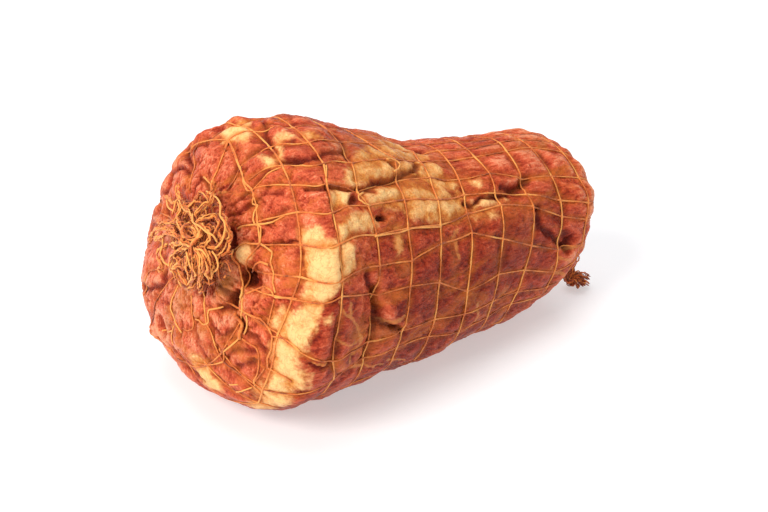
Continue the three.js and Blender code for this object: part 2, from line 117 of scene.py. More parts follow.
def faceShift(depth, end, y, z):
    faded = smoothStep(1 - depth / end["reach"])
    return faded * (end["lean"] * (z - end["aboutZ"]) + end["turn"] * (y - end["aboutY"]))


# Distance along the skin from the thick end's pole, in mm, against the place along x.
tableX = -roast["halfLength"] * np.cos(np.pi * np.arange(3001) / 3000)
tableRadius = opening(tableX + roast["halfLength"], thickEnd) * opening(roast["halfLength"] - tableX, thinEnd)
tableRadius = tableRadius * (smoothCurve("halfHeight", tableX) + smoothCurve("frontWidth", tableX)) / 2
tableDistance = np.concatenate([[0], np.cumsum(np.hypot(np.diff(tableX), np.diff(tableRadius)))])
fullDistance = tableDistance[-1]


def radiusAt(distance):
    return np.interp(distance, tableDistance, tableRadius)


# A point of the plain form. Angles are in degrees: 90 is the top, 180 the front, 270 below.
def plainPoint(distance, angle):
    x = np.interp(distance, tableDistance, tableX)
    t = np.radians(angle)
    halfHeight = smoothCurve("halfHeight", x)
    width = np.where(np.cos(t) > 0, smoothCurve("backWidth", x), smoothCurve("frontWidth", x))
    n = roast["squareness"]
    k = (np.abs(np.cos(t)) ** n + np.abs(np.sin(t)) ** n) ** (-1 / n)
    fromThick, fromThin = x + roast["halfLength"], roast["halfLength"] - x
    near, far = opening(fromThick, thickEnd), opening(fromThin, thinEnd)
    y = smoothCurve("sideways", x) + width * k * np.cos(t)
    z = halfHeight + halfHeight * k * np.sin(t)
    y = thinEnd["poleY"] + far * (thickEnd["poleY"] + near * (y - thickEnd["poleY"]) - thinEnd["poleY"])
    z = thinEnd["poleZ"] + far * (thickEnd["poleZ"] + near * (z - thickEnd["poleZ"]) - thinEnd["poleZ"])
    x = x + faceShift(fromThick, thickEnd, y, z) + faceShift(fromThin, thinEnd, y, z)
    return np.stack([x, y, z], -1) + np.array(roast["origin"])


def unit(vectors):
    return vectors / np.maximum(np.linalg.norm(vectors, axis=-1, keepdims=True), 1e-9)


def outward(distance, angle):
    d = np.clip(distance, 1, fullDistance - 1)
    turned = plainPoint(d, angle + roast["probe"]) - plainPoint(d, angle - roast["probe"])
    onward = plainPoint(d + roast["probe"], angle) - plainPoint(d - roast["probe"], angle)
    return unit(np.cross(turned, onward))


def angleGap(angle, other):
    return (angle - other + 540) % 360 - 180


net = {
    "ringRadius": 0.45, "ringPale": 0.54,
    "strandRadius": 0.40, "strandPale": 0.42,
    "lift": 0.0,
    "faceThinning": 0.85,    # the end face's cords against their listed radius
    "faceLift": 0.15,
    "knot": 0.4,             # how much a cord thickens where it crosses another
    "knotReach": 1.6,
    "wobble": 0.18,          # how much its thickness varies elsewhere
    "wobbleSize": 5,
    "toneSpread": 0.45,
    "toneSize": 14,
    "width": 1.1,            # its half width, half height, distance off the meat and lowest
    "height": 0.85,          # place over the floor, all against its radius
    "offMeat": 0.55,
    "offFloor": 1.1,
    "tautOver": 2.2,         # steps over which a cord spans the hollows below it
    "pressedIn": 0.25,       # how deep it may lie in the meat
    "castFrom": 14,          # how far outside the plain form the search for the meat starts
    "castReach": 40,
    "ringWander": 1.6,
    "strandWander": 1.6,
    "seenWander": 0.35,      # the share of that wander where the net is seen, to keep to what is seen
    "seenAngles": (84, 212),
    "seenFrom": 50,
    "firstRing": 3,          # the rings before it only steer the strands: faceCords lie there
    "gathered": 59,          # the strands start this far from the thick end's pole
    "end": 335,              # and end this far from it, under the far tuft
    "fade": 25,              # past what is seen, a ring goes back to its plain course over this angle
    "middleAngle": 150,      # the middle of what is seen of a ring
    "step": 1.2,
}
# Each ring: its distance, its lean and the angle it leans at, then where it is seen: (angle, distance).
rings = [
    (13, 0, 0, []),
    (26, 0, 0, []),
    (42, 0, 0, []),
    (62, -2, 110, [(83, 67), (90, 63), (100, 60), (112, 56), (120, 60), (128, 59), (137, 58), (141, 62),
                   (150, 62), (158, 55), (167, 53), (173, 57), (181, 56), (187, 63), (192, 65), (200, 64),
                   (211, 62), (222, 63), (230, 62)]),
    (84, 0, 0, [(104, 84), (113, 83), (118, 82), (124, 84), (131, 83), (143, 83), (160, 84), (180, 80),
                (192, 80), (208, 81), (218, 87), (230, 90)]),
    (117, -6, 150, [(94, 117), (107, 115), (115, 118), (120, 113), (125, 110), (140, 109), (150, 110),
                    (158, 111), (165, 112), (175, 109), (190, 112), (200, 114), (210, 118)]),
    (133.4, 13.8, 125, [(92, 149), (98, 148), (108, 144), (113, 145), (130, 140), (137, 144), (142, 143),
                        (148, 145), (155, 145), (162, 144), (170, 142), (180, 140), (190, 139), (200, 137),
                        (212, 135)]),
    (157.3, 12, 125, [(96, 168), (110, 176), (120, 172), (133, 170), (137, 168), (143, 166), (148, 168),
                      (155, 167), (162, 166), (170, 164), (180, 164), (185, 163), (192, 160), (200, 158),
                      (208, 156)]),
    (177.8, 12, 125, [(88, 201), (97, 199), (104, 197), (110, 192), (117, 195), (124, 194), (135, 192),
                      (143, 191), (150, 189), (160, 188), (170, 185), (178, 184), (190, 183), (200, 181)]),
    (200.6, 11.5, 125, [(88, 217), (100, 216), (105, 218), (115, 216), (122, 217), (130, 215), (138, 213),
                        (150, 213), (160, 211), (170, 209), (178, 205), (185, 206), (200, 204)]),
    (225, 11, 125, [(80, 234), (90, 235), (100, 235), (118, 236), (128, 237), (135, 235), (142, 237),
                    (150, 236), (158, 234), (168, 232), (178, 230), (188, 229), (200, 227)]),
    (244, 10.5, 140, [(86, 255), (92, 254), (100, 252), (110, 254), (122, 253), (130, 253), (136, 252),
                      (140, 254), (150, 255), (160, 253), (170, 252), (182, 250), (190, 248), (200, 246),
                      (206, 244)]),
    (262, 13, 165, [(125, 270), (132, 271), (140, 271), (145, 272), (153, 271), (165, 275), (180, 270)]),
    (283, 7, 165, []),
    (301, 4, 165, []),
    (318, 0, 0, []),
]
# Each strand: its angle, or where it is seen: (distance, angle).
strands = [
    7.5, 27.5, 47.5, 67.5,
    [(24, 90), (50, 84), (66, 80), (112, 84), (189, 80), (235, 80), (300, 92)],
    [(24, 104), (50, 103), (62, 101), (84, 97), (112, 99), (150, 98), (189, 92), (235, 90), (300, 102)],
    [(24, 118), (50, 115), (62, 114), (84, 111), (110, 113), (135, 115), (152, 115), (165, 113),
     (189, 105), (232, 101), (273, 106), (300, 116)],
    [(24, 129), (50, 122), (62, 120), (84, 122.5), (112, 122), (130, 126), (140, 129.5), (150, 128),
     (165, 123), (185, 118), (213, 117.5), (235, 119), (253, 127), (271, 129), (300, 135)],
    [(24, 141), (50, 139), (62, 139), (75, 136), (84, 134), (110, 134), (125, 137.5), (140, 138),
     (150, 133.5), (165, 133), (190, 131.5), (205, 130), (217, 127.5), (232, 131), (250, 137), (262, 141),
     (270, 144.5), (280, 150), (300, 153)],
    [(24, 157), (50, 149), (62, 150), (84, 147), (100, 147), (112, 146.5), (120, 147), (143, 149),
     (160, 147), (170, 145), (190, 143.5), (213, 139), (225, 139), (237, 140.5), (250, 143), (262, 150),
     (272, 156), (278, 161), (300, 166)],
    [(24, 172), (40, 168), (70, 160), (84, 159.5), (100, 158.5), (112, 160), (143, 161), (165, 160.5),
     (175, 157), (188, 152.5), (213, 149), (222, 151), (234, 158.5), (243, 162), (251, 168.5), (265, 173),
     (270, 178), (300, 184)],
    [(24, 186), (40, 180), (58, 173), (74, 170), (84, 169), (105, 166), (115, 167), (130, 172), (141, 174),
     (163, 172), (184, 172), (195, 175), (205, 180.5), (229, 178), (240, 181), (249, 184), (262, 189),
     (270, 194), (300, 200)],
    [(24, 197), (42, 190), (57, 188), (60, 184), (68, 183), (75, 185), (92, 187), (100, 193), (112, 196),
     (130, 197), (163, 194), (184, 193), (205, 195), (229, 196), (249, 198), (270, 207), (300, 214)],
    [(24, 213), (33, 209), (43, 207), (54, 211), (60, 213), (75, 215), (80, 216), (100, 212), (125, 207),
     (150, 204), (175, 204), (190, 206), (205, 208), (243, 207), (256, 210), (300, 222)],
    227.5, 247.5,
    267.5, 287.5, 307.5, 327.5, 347.5,
]
draw = np.random.default_rng(11)


def ringDistance(ring, angle):
    at, lean, toward, seen = ring
    plain = at + lean * np.maximum(0, np.cos(np.radians(angle - toward)))
    if not seen:
        return plain
    angles = [seen[0][0] - net["fade"]] + [a for a, _ in seen] + [seen[-1][0] + net["fade"]]
    angles = np.array(angles, float)
    known = np.array([0] + [d for _, d in seen] + [0], float)
    known[1:-1] -= at + lean * np.maximum(0, np.cos(np.radians(angles[1:-1] - toward)))
    centred = angleGap(angle, net["middleAngle"]) + net["middleAngle"]
    return plain + np.interp(centred, angles, known, left=0, right=0)


def strandAngle(strand, distance):
    if isinstance(strand, float):
        return strand + 0 * distance
    return np.interp(distance, [d for d, _ in strand], [a for _, a in strand])


def findCrossings():
    table = np.zeros((len(rings), len(strands), 2))
    low, high = net["seenAngles"]
    for i, ring in enumerate(rings):
        for j, strand in enumerate(strands):
            distance = float(ring[0])
            for _ in range(6):
                angle = float(strandAngle(strand, distance))
                distance = float(ringDistance(ring, angle))
            seen = low < angle < high and distance > net["seenFrom"]
            share = net["seenWander"] if seen else 1.0
            angle += share * net["strandWander"] * (draw.random() - 0.5) * 60 / max(radiusAt(distance), 20)
            distance += share * net["ringWander"] * (draw.random() - 0.5)
            table[i, j] = distance, angle
    return table


crossings = findCrossings()


# The way of a cord through its crossings, as distances and angles about one step apart.
def walk(distances, angles):
    here = plainPoint(distances, angles)
    length = np.concatenate([[0], np.cumsum(np.linalg.norm(np.diff(here, axis=0), axis=1))])
    count = max(int(length[-1] / net["step"]), 4)
    at = np.linspace(0, length[-1], count)
    return np.interp(at, length, distances), np.interp(at, length, angles)


def finely(pairs, parts=8):
    pairs = np.array(pairs, float)
    at = np.linspace(0, len(pairs) - 1, (len(pairs) - 1) * parts + 1)
    index = np.arange(len(pairs))
    return np.interp(at, index, pairs[:, 0]), np.interp(at, index, pairs[:, 1])


# Cords of the thick end's face, between the tuft and the net: radius, paleness, course.
faceCords = [
    (0.55, 0.55, [(66, 81), (61, 84), (53.6, 87.2), (47, 90.5), (41.4, 91.2), (39.7, 95.5), (35.7, 99.5)]),
    (0.5, 0.7, [(39, 76.5), (38, 84.5), (38, 90.5), (34.6, 96.8)]),
    (0.55, 0.55, [(65.7, 83.5), (62.3, 91.5), (59, 101.5), (58.7, 108.2), (56.7, 114), (57, 120),
                  (60, 121), (60.6, 124.5), (57.6, 128.2), (61.6, 130.3), (58.7, 133.5), (57.6, 137.5),
                  (58.7, 140.2), (62.3, 141.2), (62.3, 149.5)]),
    (0.45, 0.35, [(59, 101.5), (63, 101.2), (70.6, 101.8)]),
    (0.45, 0.35, [(58.5, 101.5), (51, 107.8), (45, 110.8)]),
    (0.55, 0.6, [(76, 136.2), (69, 139), (64, 140), (58.7, 140.2), (50, 140.2), (46.3, 141.2)]),
    (0.55, 0.6, [(62.3, 149.5), (66.5, 151.2), (69.7, 152.5), (69.3, 156.8), (71.7, 161), (72, 165.2),
                 (74, 169)]),
    (0.6, 0.55, [(45, 155), (49.3, 152.2), (54.4, 150.2), (59, 150.2), (62.3, 149.5)]),
    (0.6, 0.5, [(55, 166), (60, 160.2), (64, 157.8), (68.5, 158.2)]),
    (0.55, 0.5, [(59.5, 175.8), (63, 172.2), (67.6, 168.2), (72, 168.8), (74, 171.2), (81, 169),
                 (84.4, 168.5)]),
    (0.45, 0.35, [(57.6, 121), (68, 117.3), (75.5, 114.2), (82.3, 112.8)]),
    (0.5, 0.5, [(31.4, 30.5), (26.3, 39.2), (20.3, 49)]),
    (0.5, 0.8, [(25, 32.8), (22, 22.8), (23, 7.8)]),
    (0.5, 0.6, [(42, 16.2), (35, 19.2), (30, 27.2)]),
    (0.6, 0.5, [(30, 186), (40, 185.2), (49.7, 187.2), (55, 187.8), (59.3, 185.5), (64, 184.8),
                (70.4, 183.5), (75, 185.2), (78.3, 187.8), (80, 193.5), (80, 198.8), (82, 203.2)]),
    (0.5, 0.5, [(24, 206), (33, 204.8), (38, 207.5), (43.3, 209.5), (46, 210.8), (49.3, 210.2),
                (53.3, 211.3), (57, 213.2), (61, 215.2), (65.3, 216.2), (69.3, 215.5), (76.6, 215),
                (84, 217.2), (88, 219.2)]),
    (0.5, 0.7, [(48.7, 192.2), (45, 197.5), (41.6, 203), (43, 206), (46.3, 208.2), (46, 210.8),
                (44.4, 214.5), (41, 217.5), (39, 222.2)]),
    (0.45, 0.45, [(26, 226), (36.3, 225.8), (40.6, 224.5), (43, 227), (43, 234), (41.6, 240.3)]),
    (0.5, 0.7, [(64.6, 199.2), (63.6, 204.2), (62.3, 210.8), (65.3, 216.2)]),
    (0.55, 0.55, [(66, 198), (70, 197.5), (73.6, 197), (76, 199.2), (78.3, 204.2), (80, 209.5),
                  (80.6, 213.5), (82.5, 216)]),
    (0.55, 0.75, [(22, 264.5), (29.7, 265.8), (35, 264.2), (38, 254.5), (42, 244.8), (44, 242.2)]),
    (0.5, 0.75, [(42.3, 255.2), (49, 260.2), (54, 260.5), (60, 252)]),
    (0.45, 0.75, [(55, 278), (48.7, 264.8), (45, 256.8)]),
    (0.45, 0.75, [(60, 236), (62.3, 227.8), (63.6, 223.5), (65.3, 216.2)]),
    (0.5, 0.5, [(74, 172.2), (74, 177.5), (74.6, 184)]),
    (0.5, 0.45, [(78.3, 187.8), (83.4, 186.2), (88, 187.2), (91.7, 189)]),
    (0.45, 0.4, [(82, 203.2), (86.4, 203), (90.4, 203.2), (93.6, 205)]),
    (0.45, 0.45, [(81, 214), (81, 204)]),
    (0.5, 0.4, [(22, 288), (36, 292), (50, 288), (62, 290)]),
    (0.5, 0.4, [(24, 310), (38, 316), (52, 310), (62, 308)]),
    (0.5, 0.4, [(28, 340), (42, 345), (52, 338), (62, 334)]),
    (0.5, 0.4, [(24, 10), (40, 4), (52, 10), (62, 4)]),
    (0.5, 0.4, [(30, 56), (44, 60), (56, 52), (62, 56)]),
]
# Single cords that lie loosely on the net: radius, paleness, how high they lie, course.
looseCords = [
    (0.6, 0.75, 1.2, [(45, 155), (47.6, 159.2), (52, 162.5), (53, 168.8), (55.7, 172.5), (58, 176.2),
                      (58, 178.2), (56.3, 183), (56.5, 185.2)]),
    (1.0, 0.55, 0.5, [(57, 188), (59.7, 190.8), (62.5, 192.2), (64, 196.2), (65, 198.8)]),
    (0.45, 0.9, 0.7, [(63.4, 185.8), (65.3, 187.8), (65.7, 191.5), (65.7, 195.5)]),
    (0.4, 0.9, 0.4, [(75, 223), (77, 219.2)]),
    (0.4, 0.9, 0.4, [(79.5, 225.5), (80.6, 220.5), (82, 217.2)]),
    (0.42, 1.0, 1.2, [(144, 136.5), (140, 135.5), (137.5, 134), (138, 132), (143, 130.5)]),
    (0.42, 1.0, 1.1, [(169, 119), (173, 117), (176, 114), (175, 112), (171, 111), (168, 112)]),
    (0.42, 0.8, 0.6, [(113, 120), (116, 117.5), (118.5, 115)]),
    (0.4, 0.6, 0.4, [(143, 149), (160, 147.6), (170, 145.6), (190, 144.5)]),
]


def layCourse(distances, angles, kind, radius, pale, lift, closed=False):
    return {"distance": distances, "angle": angles, "kind": kind, "radius": radius, "pale": pale,
            "lift": lift, "closed": closed}


def netCourses():
    laid = []
    for row in crossings[net["firstRing"]:]:
        order = np.argsort(row[:, 1] % 360)
        ring = np.vstack([row[order], row[order[:1]]])
        ring[:, 1] = np.unwrap(ring[:, 1], period=360)
        distances, angles = walk(*finely(ring))
        laid.append(layCourse(distances[:-1], angles[:-1], "ring", net["ringRadius"], net["ringPale"],
                              net["lift"], closed=True))
    for column in range(len(strands)):
        distances, angles = finely(crossings[:, column])
        kept = distances > net["gathered"]
        distances, angles = walk(np.append(distances[kept], net["end"]), np.append(angles[kept], angles[-1]))
        laid.append(layCourse(distances, angles, "strand", net["strandRadius"], net["strandPale"],
                              net["lift"]))
    for radius, pale, course in faceCords:
        radius *= net["faceThinning"]
        laid.append(layCourse(*walk(*finely(course)), "face", radius, pale, net["faceLift"]))
    for radius, pale, lift, course in looseCords:
        laid.append(layCourse(*walk(*finely(course)), "loose", radius, pale, lift))
    return laid


courses = netCourses()
print("net laid out:", len(courses), "cords")


skin = {
    "stray": 2.2, "straySize": 9,            # how far edges stray from their outlines, over what length
    "narrowest": 12,                         # nearer the poles than this, a stray turns no farther
    "outside": -30.0,                        # stands for far outside every patch of fat
    "outlineReach": 12, "lineReach": 15,     # an outline or a line isn't looked for from farther away
    "fatEdge": 6.0,                          # the depth inside a patch at which the fat counts in full
    "fatAtOutline": 0.5, "fatSlope": 1.2,    # how the relief goes over into the fat's
    "membraneWidth": 1.4,
    "seamShade": 0.95,                       # the width of a seam's dark line against its own
    "hollowShade": 1.25,                     # how fast a hollow darkens against its rim
    "tanSpread": 1.5, "colourSpread": 1.4,   # the spots' reach against their listed half sizes
    "faceEdge": 92, "faceFade": 35,          # where the cut end's look gives way to the side's
    # The paler cut end: painted light, partly the cut end's own tone.
    "lightEdge": 100, "lightFade": 35, "lightLevel": 0.55, "lightSlope": 0.45,
    "lumps": [(23, 0.9, 2), (10, 0.34, 2), (4.2, 0.17, 2)],    # size, height, octaves
    "lumpsCalmed": 0.35, "lumpsStirred": 0.25,  # how much lower in fat, and higher on the cut end
    "furrows": [(19, 3.3, 0.5, 0.06), (9, 14.9, 0.28, 0.07)],  # size, seed, depth, width
    "furrowBend": 4, "furrowsCalmed": 0.7, "furrowsStirred": 1.2,
    "furrowShade": 0.35, "furrowShadeOnFace": 0.5, "furrowShadeCalmed": 0.8,
    "lobules": [(8.5, 1.3), (3.6, 0.5)],                       # size, height
    "lobuleBend": 0.9, "lobuleLevel": 0.6,
    "fibreHeight": 0.35, "fibreSize": 2.6, "fibreStretch": 4.5, "fibresFrom": 60, "fibresFade": 30,
    "stainAndShadeReach": 2.2,                       # how far the cords' stain and painted shade reach
    "ridgeHeight": 0.8, "ridgeRounds": 30,   # what stands this high above its surroundings is a ridge, painted paler as light
}


def noiseField(points, size, seed, octaves=1):
    moved = (points / size + seed).tolist()
    return np.array([noise.fractal(p, 1.0, 2.0, octaves) for p in moved])


def flatten(distance, angle, middle):
    return np.stack([distance, np.radians(angle) * radiusAt(middle)], -1)


def segmentGap(points, a, b):
    edge = b - a
    share = np.clip(((points - a) @ edge) / (edge @ edge), 0, 1)
    return np.linalg.norm(points - a - share[:, None] * edge, axis=1)


def closeTo(points, corners, reach):
    return np.all((points > corners.min(0) - reach) & (points < corners.max(0) + reach), axis=1)


def insideBy(distance, angle, outline):  # mm inside an outline, negative outside
    outline = np.array(outline, float)
    middle = outline[:, 0].mean()
    corners = flatten(outline[:, 0], outline[:, 1], middle)
    points = flatten(distance, angle, middle)
    close = closeTo(points, corners, skin["outlineReach"])
    p = points[close]
    gap = np.full(len(p), np.inf)
    inside = np.zeros(len(p), bool)
    for a, b in zip(corners, np.roll(corners, -1, axis=0)):
        gap = np.minimum(gap, segmentGap(p, a, b))
        crossing = (a[1] > p[:, 1]) != (b[1] > p[:, 1])
        slope = (b[0] - a[0]) / (b[1] - a[1]) if b[1] != a[1] else 0
        inside ^= crossing & (p[:, 0] < a[0] + (p[:, 1] - a[1]) * slope)
    depth = np.full(len(points), skin["outside"])
    depth[close] = np.where(inside, gap, -gap)
    return depth


def lineDistance(distance, angle, route):
    route = np.array(route, float)
    middle = route[:, 0].mean()
    corners = flatten(route[:, 0], route[:, 1], middle)
    points = flatten(distance, angle, middle)
    gap = np.full(len(points), np.inf)
    close = closeTo(points, corners, skin["lineReach"])
    gap[close] = np.min([segmentGap(points[close], a, b) for a, b in zip(corners[:-1], corners[1:])], axis=0)
    return gap


fatPatches = [  # outlines of fat, as (distance, angle)
    [(83, 141), (88, 139.5), (95, 139), (100, 143), (108, 145.5), (109, 139), (112, 138), (125, 139),
     (143, 139.5), (146, 142), (143, 147), (135, 147), (122, 145.5), (120, 148), (123, 151), (126, 158),
     (122, 160), (115, 160.5), (112, 162), (107, 162.5), (101, 167.5), (98, 171), (97, 178), (95, 188),
     (93, 193), (95, 197), (99, 198), (100, 203), (103, 207), (101, 210), (98, 209), (97, 214), (98, 222),
     (99, 230), (96, 236), (91, 236), (89, 229), (86, 222), (83, 218), (84, 212), (83, 205), (81, 199),
     (79, 193), (79, 187), (76, 181), (77, 175), (80, 172), (82, 175), (84, 175), (86, 171), (88, 169),
     (87, 164), (86, 158), (85.5, 150)],
    [(111, 126), (121, 126.5), (134, 130), (130, 133), (122, 134), (111, 133)],
    [(131, 124), (140, 118), (147, 113), (152, 108), (160, 103), (167, 99), (175, 92), (184, 87),
     (196, 84), (207, 90), (206, 100), (205, 106), (207, 113), (212, 119), (215, 125), (205, 125.5),
     (190, 122), (178, 119), (165, 122.5), (155, 125), (146, 127), (138, 129)],
    [(143, 131), (152, 128.5), (165, 124.5), (180, 121), (195, 124), (214, 127), (211, 131), (212, 136),
     (208, 141), (190, 143), (172, 142), (163, 138), (150, 137), (143, 135)],
    [(66, 72), (70, 68), (80, 66), (92, 64), (90, 74), (84, 80), (80, 86), (76, 92), (70, 92), (67, 84),
     (64, 78)],
    [(83, 106), (87, 98), (94, 93), (102, 91.5), (110, 93), (104, 95), (95, 97), (90, 102), (86, 108)],
    [(74, 106), (79, 104), (83, 108), (79, 112), (75, 112)],
    [(117, 92), (128, 93), (136, 96), (128, 98), (117, 97)],
    [(47, 152), (53, 150), (59, 151), (61, 156), (57, 161), (52, 162), (48, 158)],
    [(60, 224), (66, 226), (74, 229), (78, 236), (70, 240), (60, 242), (55, 232)],
    [(101, 172.5), (104, 172.5), (104.5, 175.5), (101, 175.5)],
    [(156, 147), (161, 146), (161, 156), (158, 157)],
    [(216, 134.5), (222, 134), (228, 133), (234, 135), (234, 138), (226, 139), (218, 138.5)],
    [(217, 139), (222, 138.5), (222, 141.5), (217, 142)],
    [(224, 142.5), (230, 142), (232, 145), (228, 146)],
    [(238, 137.5), (241, 136.5), (242, 139), (239, 140.5)],
    [(222, 120), (230, 121), (229, 125), (223, 124)],
]
membranes = [
    [(109, 168.5), (121, 178), (130, 190), (127, 197), (124, 203)],
    [(111, 186), (118, 190), (126, 192)],
    [(118, 171), (121, 176)],
    [(99, 194.5), (110, 195.5)],
    [(143, 186.5), (150, 188), (158, 187)],
    [(122, 206), (136, 210), (150, 214)],
    [(152, 211), (160, 215), (166, 218)],
    [(159, 146), (158, 150), (159, 156)],
    [(276, 180), (288, 184), (296, 190)],
    [(272, 184), (282, 192), (292, 200)],
    [(268, 190), (276, 198), (284, 206)],
    [(172, 110), (180, 103), (190, 94)],
    [(165, 108), (172, 103), (178, 97)],
    [(183, 92), (190, 88), (198, 86)],
    [(108, 96), (113, 100)],
    [(40, 108), (43, 110)],
    [(200, 160), (199, 150), (202, 145)],
    [(214, 190), (216, 200), (214, 207)],
]
tans = [  # smoked tan fields: middle, half size along and round in mm, strength
    (196, 139, 20, 4.5, 0.75), (165, 135, 18, 4, 0.55), (243, 148, 9, 9, 0.45), (235, 193, 5, 5, 0.7),
    (209, 186, 6, 5, 0.8), (128, 186, 9, 9, 0.55), (160, 150, 4, 8, 0.6), (197, 165, 4, 22, 0.4),
    (276, 103, 5, 5, 0.9), (263, 105, 8, 10, 0.3), (118, 138, 8, 5, 0.5), (72, 88, 9, 14, 0.4),
    (175, 112, 45, 32, 0.7), (228, 112, 14, 9, 0.2), (128, 95, 10, 5, 0.5), (146, 192, 9, 8, 0.5),
    (160, 163, 5, 5, 0.6), (212, 134, 7, 6, 0.6), (40, 262, 12, 8, 0.6), (22, 240, 12, 14, 0.5),
    (46, 174, 7, 15, 1.0), (60, 130, 5, 10, 0.45), (47, 112, 12, 6, 0.4), (66, 200, 8, 10, 0.4),
    (36, 98, 5, 12, 0.5), (50, 218, 12, 5, 0.35), (62, 96, 4, 8, 0.4), (222, 143, 12, 5, 0.4),
    (138, 207, 14, 5, 0.4), (190, 178, 20, 4, 0.25), (175, 60, 30, 20, 0.4), (120, 40, 25, 25, 0.35),
    (230, 330, 30, 30, 0.4), (150, 300, 40, 30, 0.3), (90, 320, 25, 40, 0.35),
]
darks = [  # deep smoky red, partly painted shade on the side and the top: middle, half sizes, strength
    (235, 168, 26, 16, 0.65), (195, 192, 30, 20, 0.35), (178, 180, 14, 22, 0.3), (113, 228, 12, 14, 0.7),
    (150, 108, 12, 7, 0.55), (243, 92, 12, 12, 0.25), (262, 150, 10, 16, 0.4), (208, 90, 7, 6, 0.5),
    (100, 109, 22, 3, 0.6), (152, 100, 26, 6, 0.5), (130, 203, 18, 10, 0.3), (225, 215, 40, 16, 0.35),
    (215, 108, 8, 6, 0.4), (120, 110, 16, 12, 0.5), (104, 102, 14, 8, 0.3), (176, 208, 24, 8, 0.3),
    (104, 186, 6, 16, 0.25),
]
lights = [  # painted light (or, below 0, painted shade) on the lean, partly its own tone: middle, half sizes, strength
    (46, 172, 7, 15, 0.8), (190, 205, 110, 75, -1.35), (92, 95, 20, 34, -0.4), (235, 100, 16, 18, 0.7),
    (272, 80, 24, 30, 0.8), (205, 75, 30, 20, 0.4), (296, 150, 16, 20, 1.3), (312, 130, 20, 26, 0.9),
    (64, 240, 20, 30, -0.3), (150, 20, 110, 60, -0.5), (284, 128, 10, 9, 0.5), (286, 190, 12, 9, 1.6),
    (245, 112, 20, 14, 0.5), (268, 122, 9, 9, 0.5), (148, 182, 7, 9, 0.5),
]
seams = [  # route, depth, width, darkness of the shade painted along it
    ([(92, 124), (110, 125), (128, 128), (140, 130), (150, 128), (155, 126), (165, 123.5), (172, 121),
      (178, 118), (188, 113), (192, 108)], 2.6, 1.6, 0.75),
    ([(84, 110), (96, 109.5), (112, 108.5), (130, 110), (146, 108)], 1.8, 2.0, 0.6),
    ([(213, 133), (220, 136), (226, 133), (235, 135), (243, 137)], 2.2, 1.4, 0.8),
    ([(240, 131), (250, 133), (256, 129)], 2.5, 2.6, 0.7),
    ([(256, 149), (257, 158), (262, 163), (268, 169), (275, 177), (279, 182)], 2.8, 1.8, 0.75),
    ([(269, 110), (271, 118), (271, 128)], 1.2, 1.2, 0.45),
    ([(134, 163), (138, 170), (141, 178), (141, 186), (137, 196), (136, 205)], 3.0, 2.6, 0.7),
    ([(109, 119), (109, 130), (108, 140), (109.5, 147), (110, 156)], 1.3, 1.1, 0.45),
    ([(143, 180), (142, 186), (148, 190), (156, 192), (159, 196)], 2.4, 1.8, 0.8),
    ([(79, 146.5), (83, 145.8)], 1.5, 0.9, 1.0),
    ([(109, 175), (112, 188), (114, 200), (120, 206)], 1.0, 1.1, 0.4),
    ([(98, 195.5), (105, 197), (111, 196)], 1.4, 1.0, 0.5),
    ([(203, 190), (204, 200), (200, 207)], 0.9, 1.5, 0.5),
    ([(145, 110), (147, 100), (151, 92)], 1.6, 2.0, 0.6),
    ([(62, 42), (52, 49), (45, 54), (41, 56)], 2.2, 1.6, 0.9),
    ([(54, 28), (48, 40), (41, 54)], 2.4, 1.6, 0.7), ([(39, 73), (35, 88)], 1.4, 1.4, 0.6),
    ([(25, 64), (31, 69), (37, 75)], 1.2, 1.2, 0.5),
    ([(59, 102), (64, 101), (71, 100), (85, 97)], 1.8, 1.5, 0.7),
    ([(98, 76), (92, 86), (85, 97)], 1.6, 1.6, 0.6),
    ([(58, 121), (68, 117), (74, 114), (80, 114)], 1.4, 1.3, 0.6),
    ([(84, 112), (91, 110), (97, 109)], 2.0, 1.6, 0.8), ([(45, 111), (54, 106), (58, 102)], 1.2, 1.3, 0.6),
    ([(44, 126), (51, 124), (57, 121)], 1.2, 1.3, 0.6), ([(41, 133), (52, 131), (59, 129)], 1.4, 1.3, 0.6),
    ([(54, 129), (61, 128), (68, 127), (77, 126)], 1.1, 1.3, 0.5),
    ([(64, 140), (70, 136), (78, 133)], 1.0, 1.2, 0.5), ([(64, 150), (72, 148), (80, 147)], 1.4, 1.1, 0.6),
    ([(56, 314), (46, 306), (38, 301), (30, 293), (27, 303)], 2.6, 2.0, 0.8),
    ([(57, 266), (59, 256), (65, 246), (69, 238)], 2.0, 1.6, 0.7),
    ([(33, 225), (44, 224), (55, 223), (61, 223)], 1.0, 1.3, 0.5),
    ([(46, 206), (55, 212), (62, 215)], 1.0, 1.3, 0.5), ([(65, 215), (67, 204), (74, 198)], 1.3, 1.3, 0.6),
    ([(71, 212), (74, 209), (75, 202)], 1.6, 1.3, 0.8), ([(36, 242), (45, 241)], 1.2, 1.2, 0.6),
    ([(35, 355), (47, 350), (45, 341)], 1.8, 1.6, 0.7), ([(52, 206), (58, 202), (60, 192)], 1.4, 1.3, 0.8),
    ([(35, 12), (28, 3)], 1.6, 1.6, 0.7), ([(29, 192), (29, 180), (31, 166), (38, 156)], 2.5, 1.8, 0.8),
    ([(44, 20), (52, 10), (58, 4)], 2.0, 1.6, 0.6), ([(50, 330), (60, 326)], 1.8, 1.6, 0.6),
    ([(102, 66), (98, 76), (110, 84), (122, 80)], 1.4, 2.0, 0.4),
    ([(45, 178), (52, 182), (54, 188), (48, 194)], 2.4, 2.0, 0.9),
    ([(273, 168), (278, 174), (279, 178)], 1.8, 2.4, 0.6),
    ([(206, 92), (203, 88), (198, 84)], 2.2, 2.2, 0.6),
    ([(186, 112), (189, 117), (180, 119)], 1.0, 1.2, 0.5),
    ([(84, 166), (86, 160), (85, 150)], 0.8, 1.0, 0.25),
    ([(60, 190), (66, 194), (72, 193), (78, 196)], 1.6, 1.6, 0.5),
]
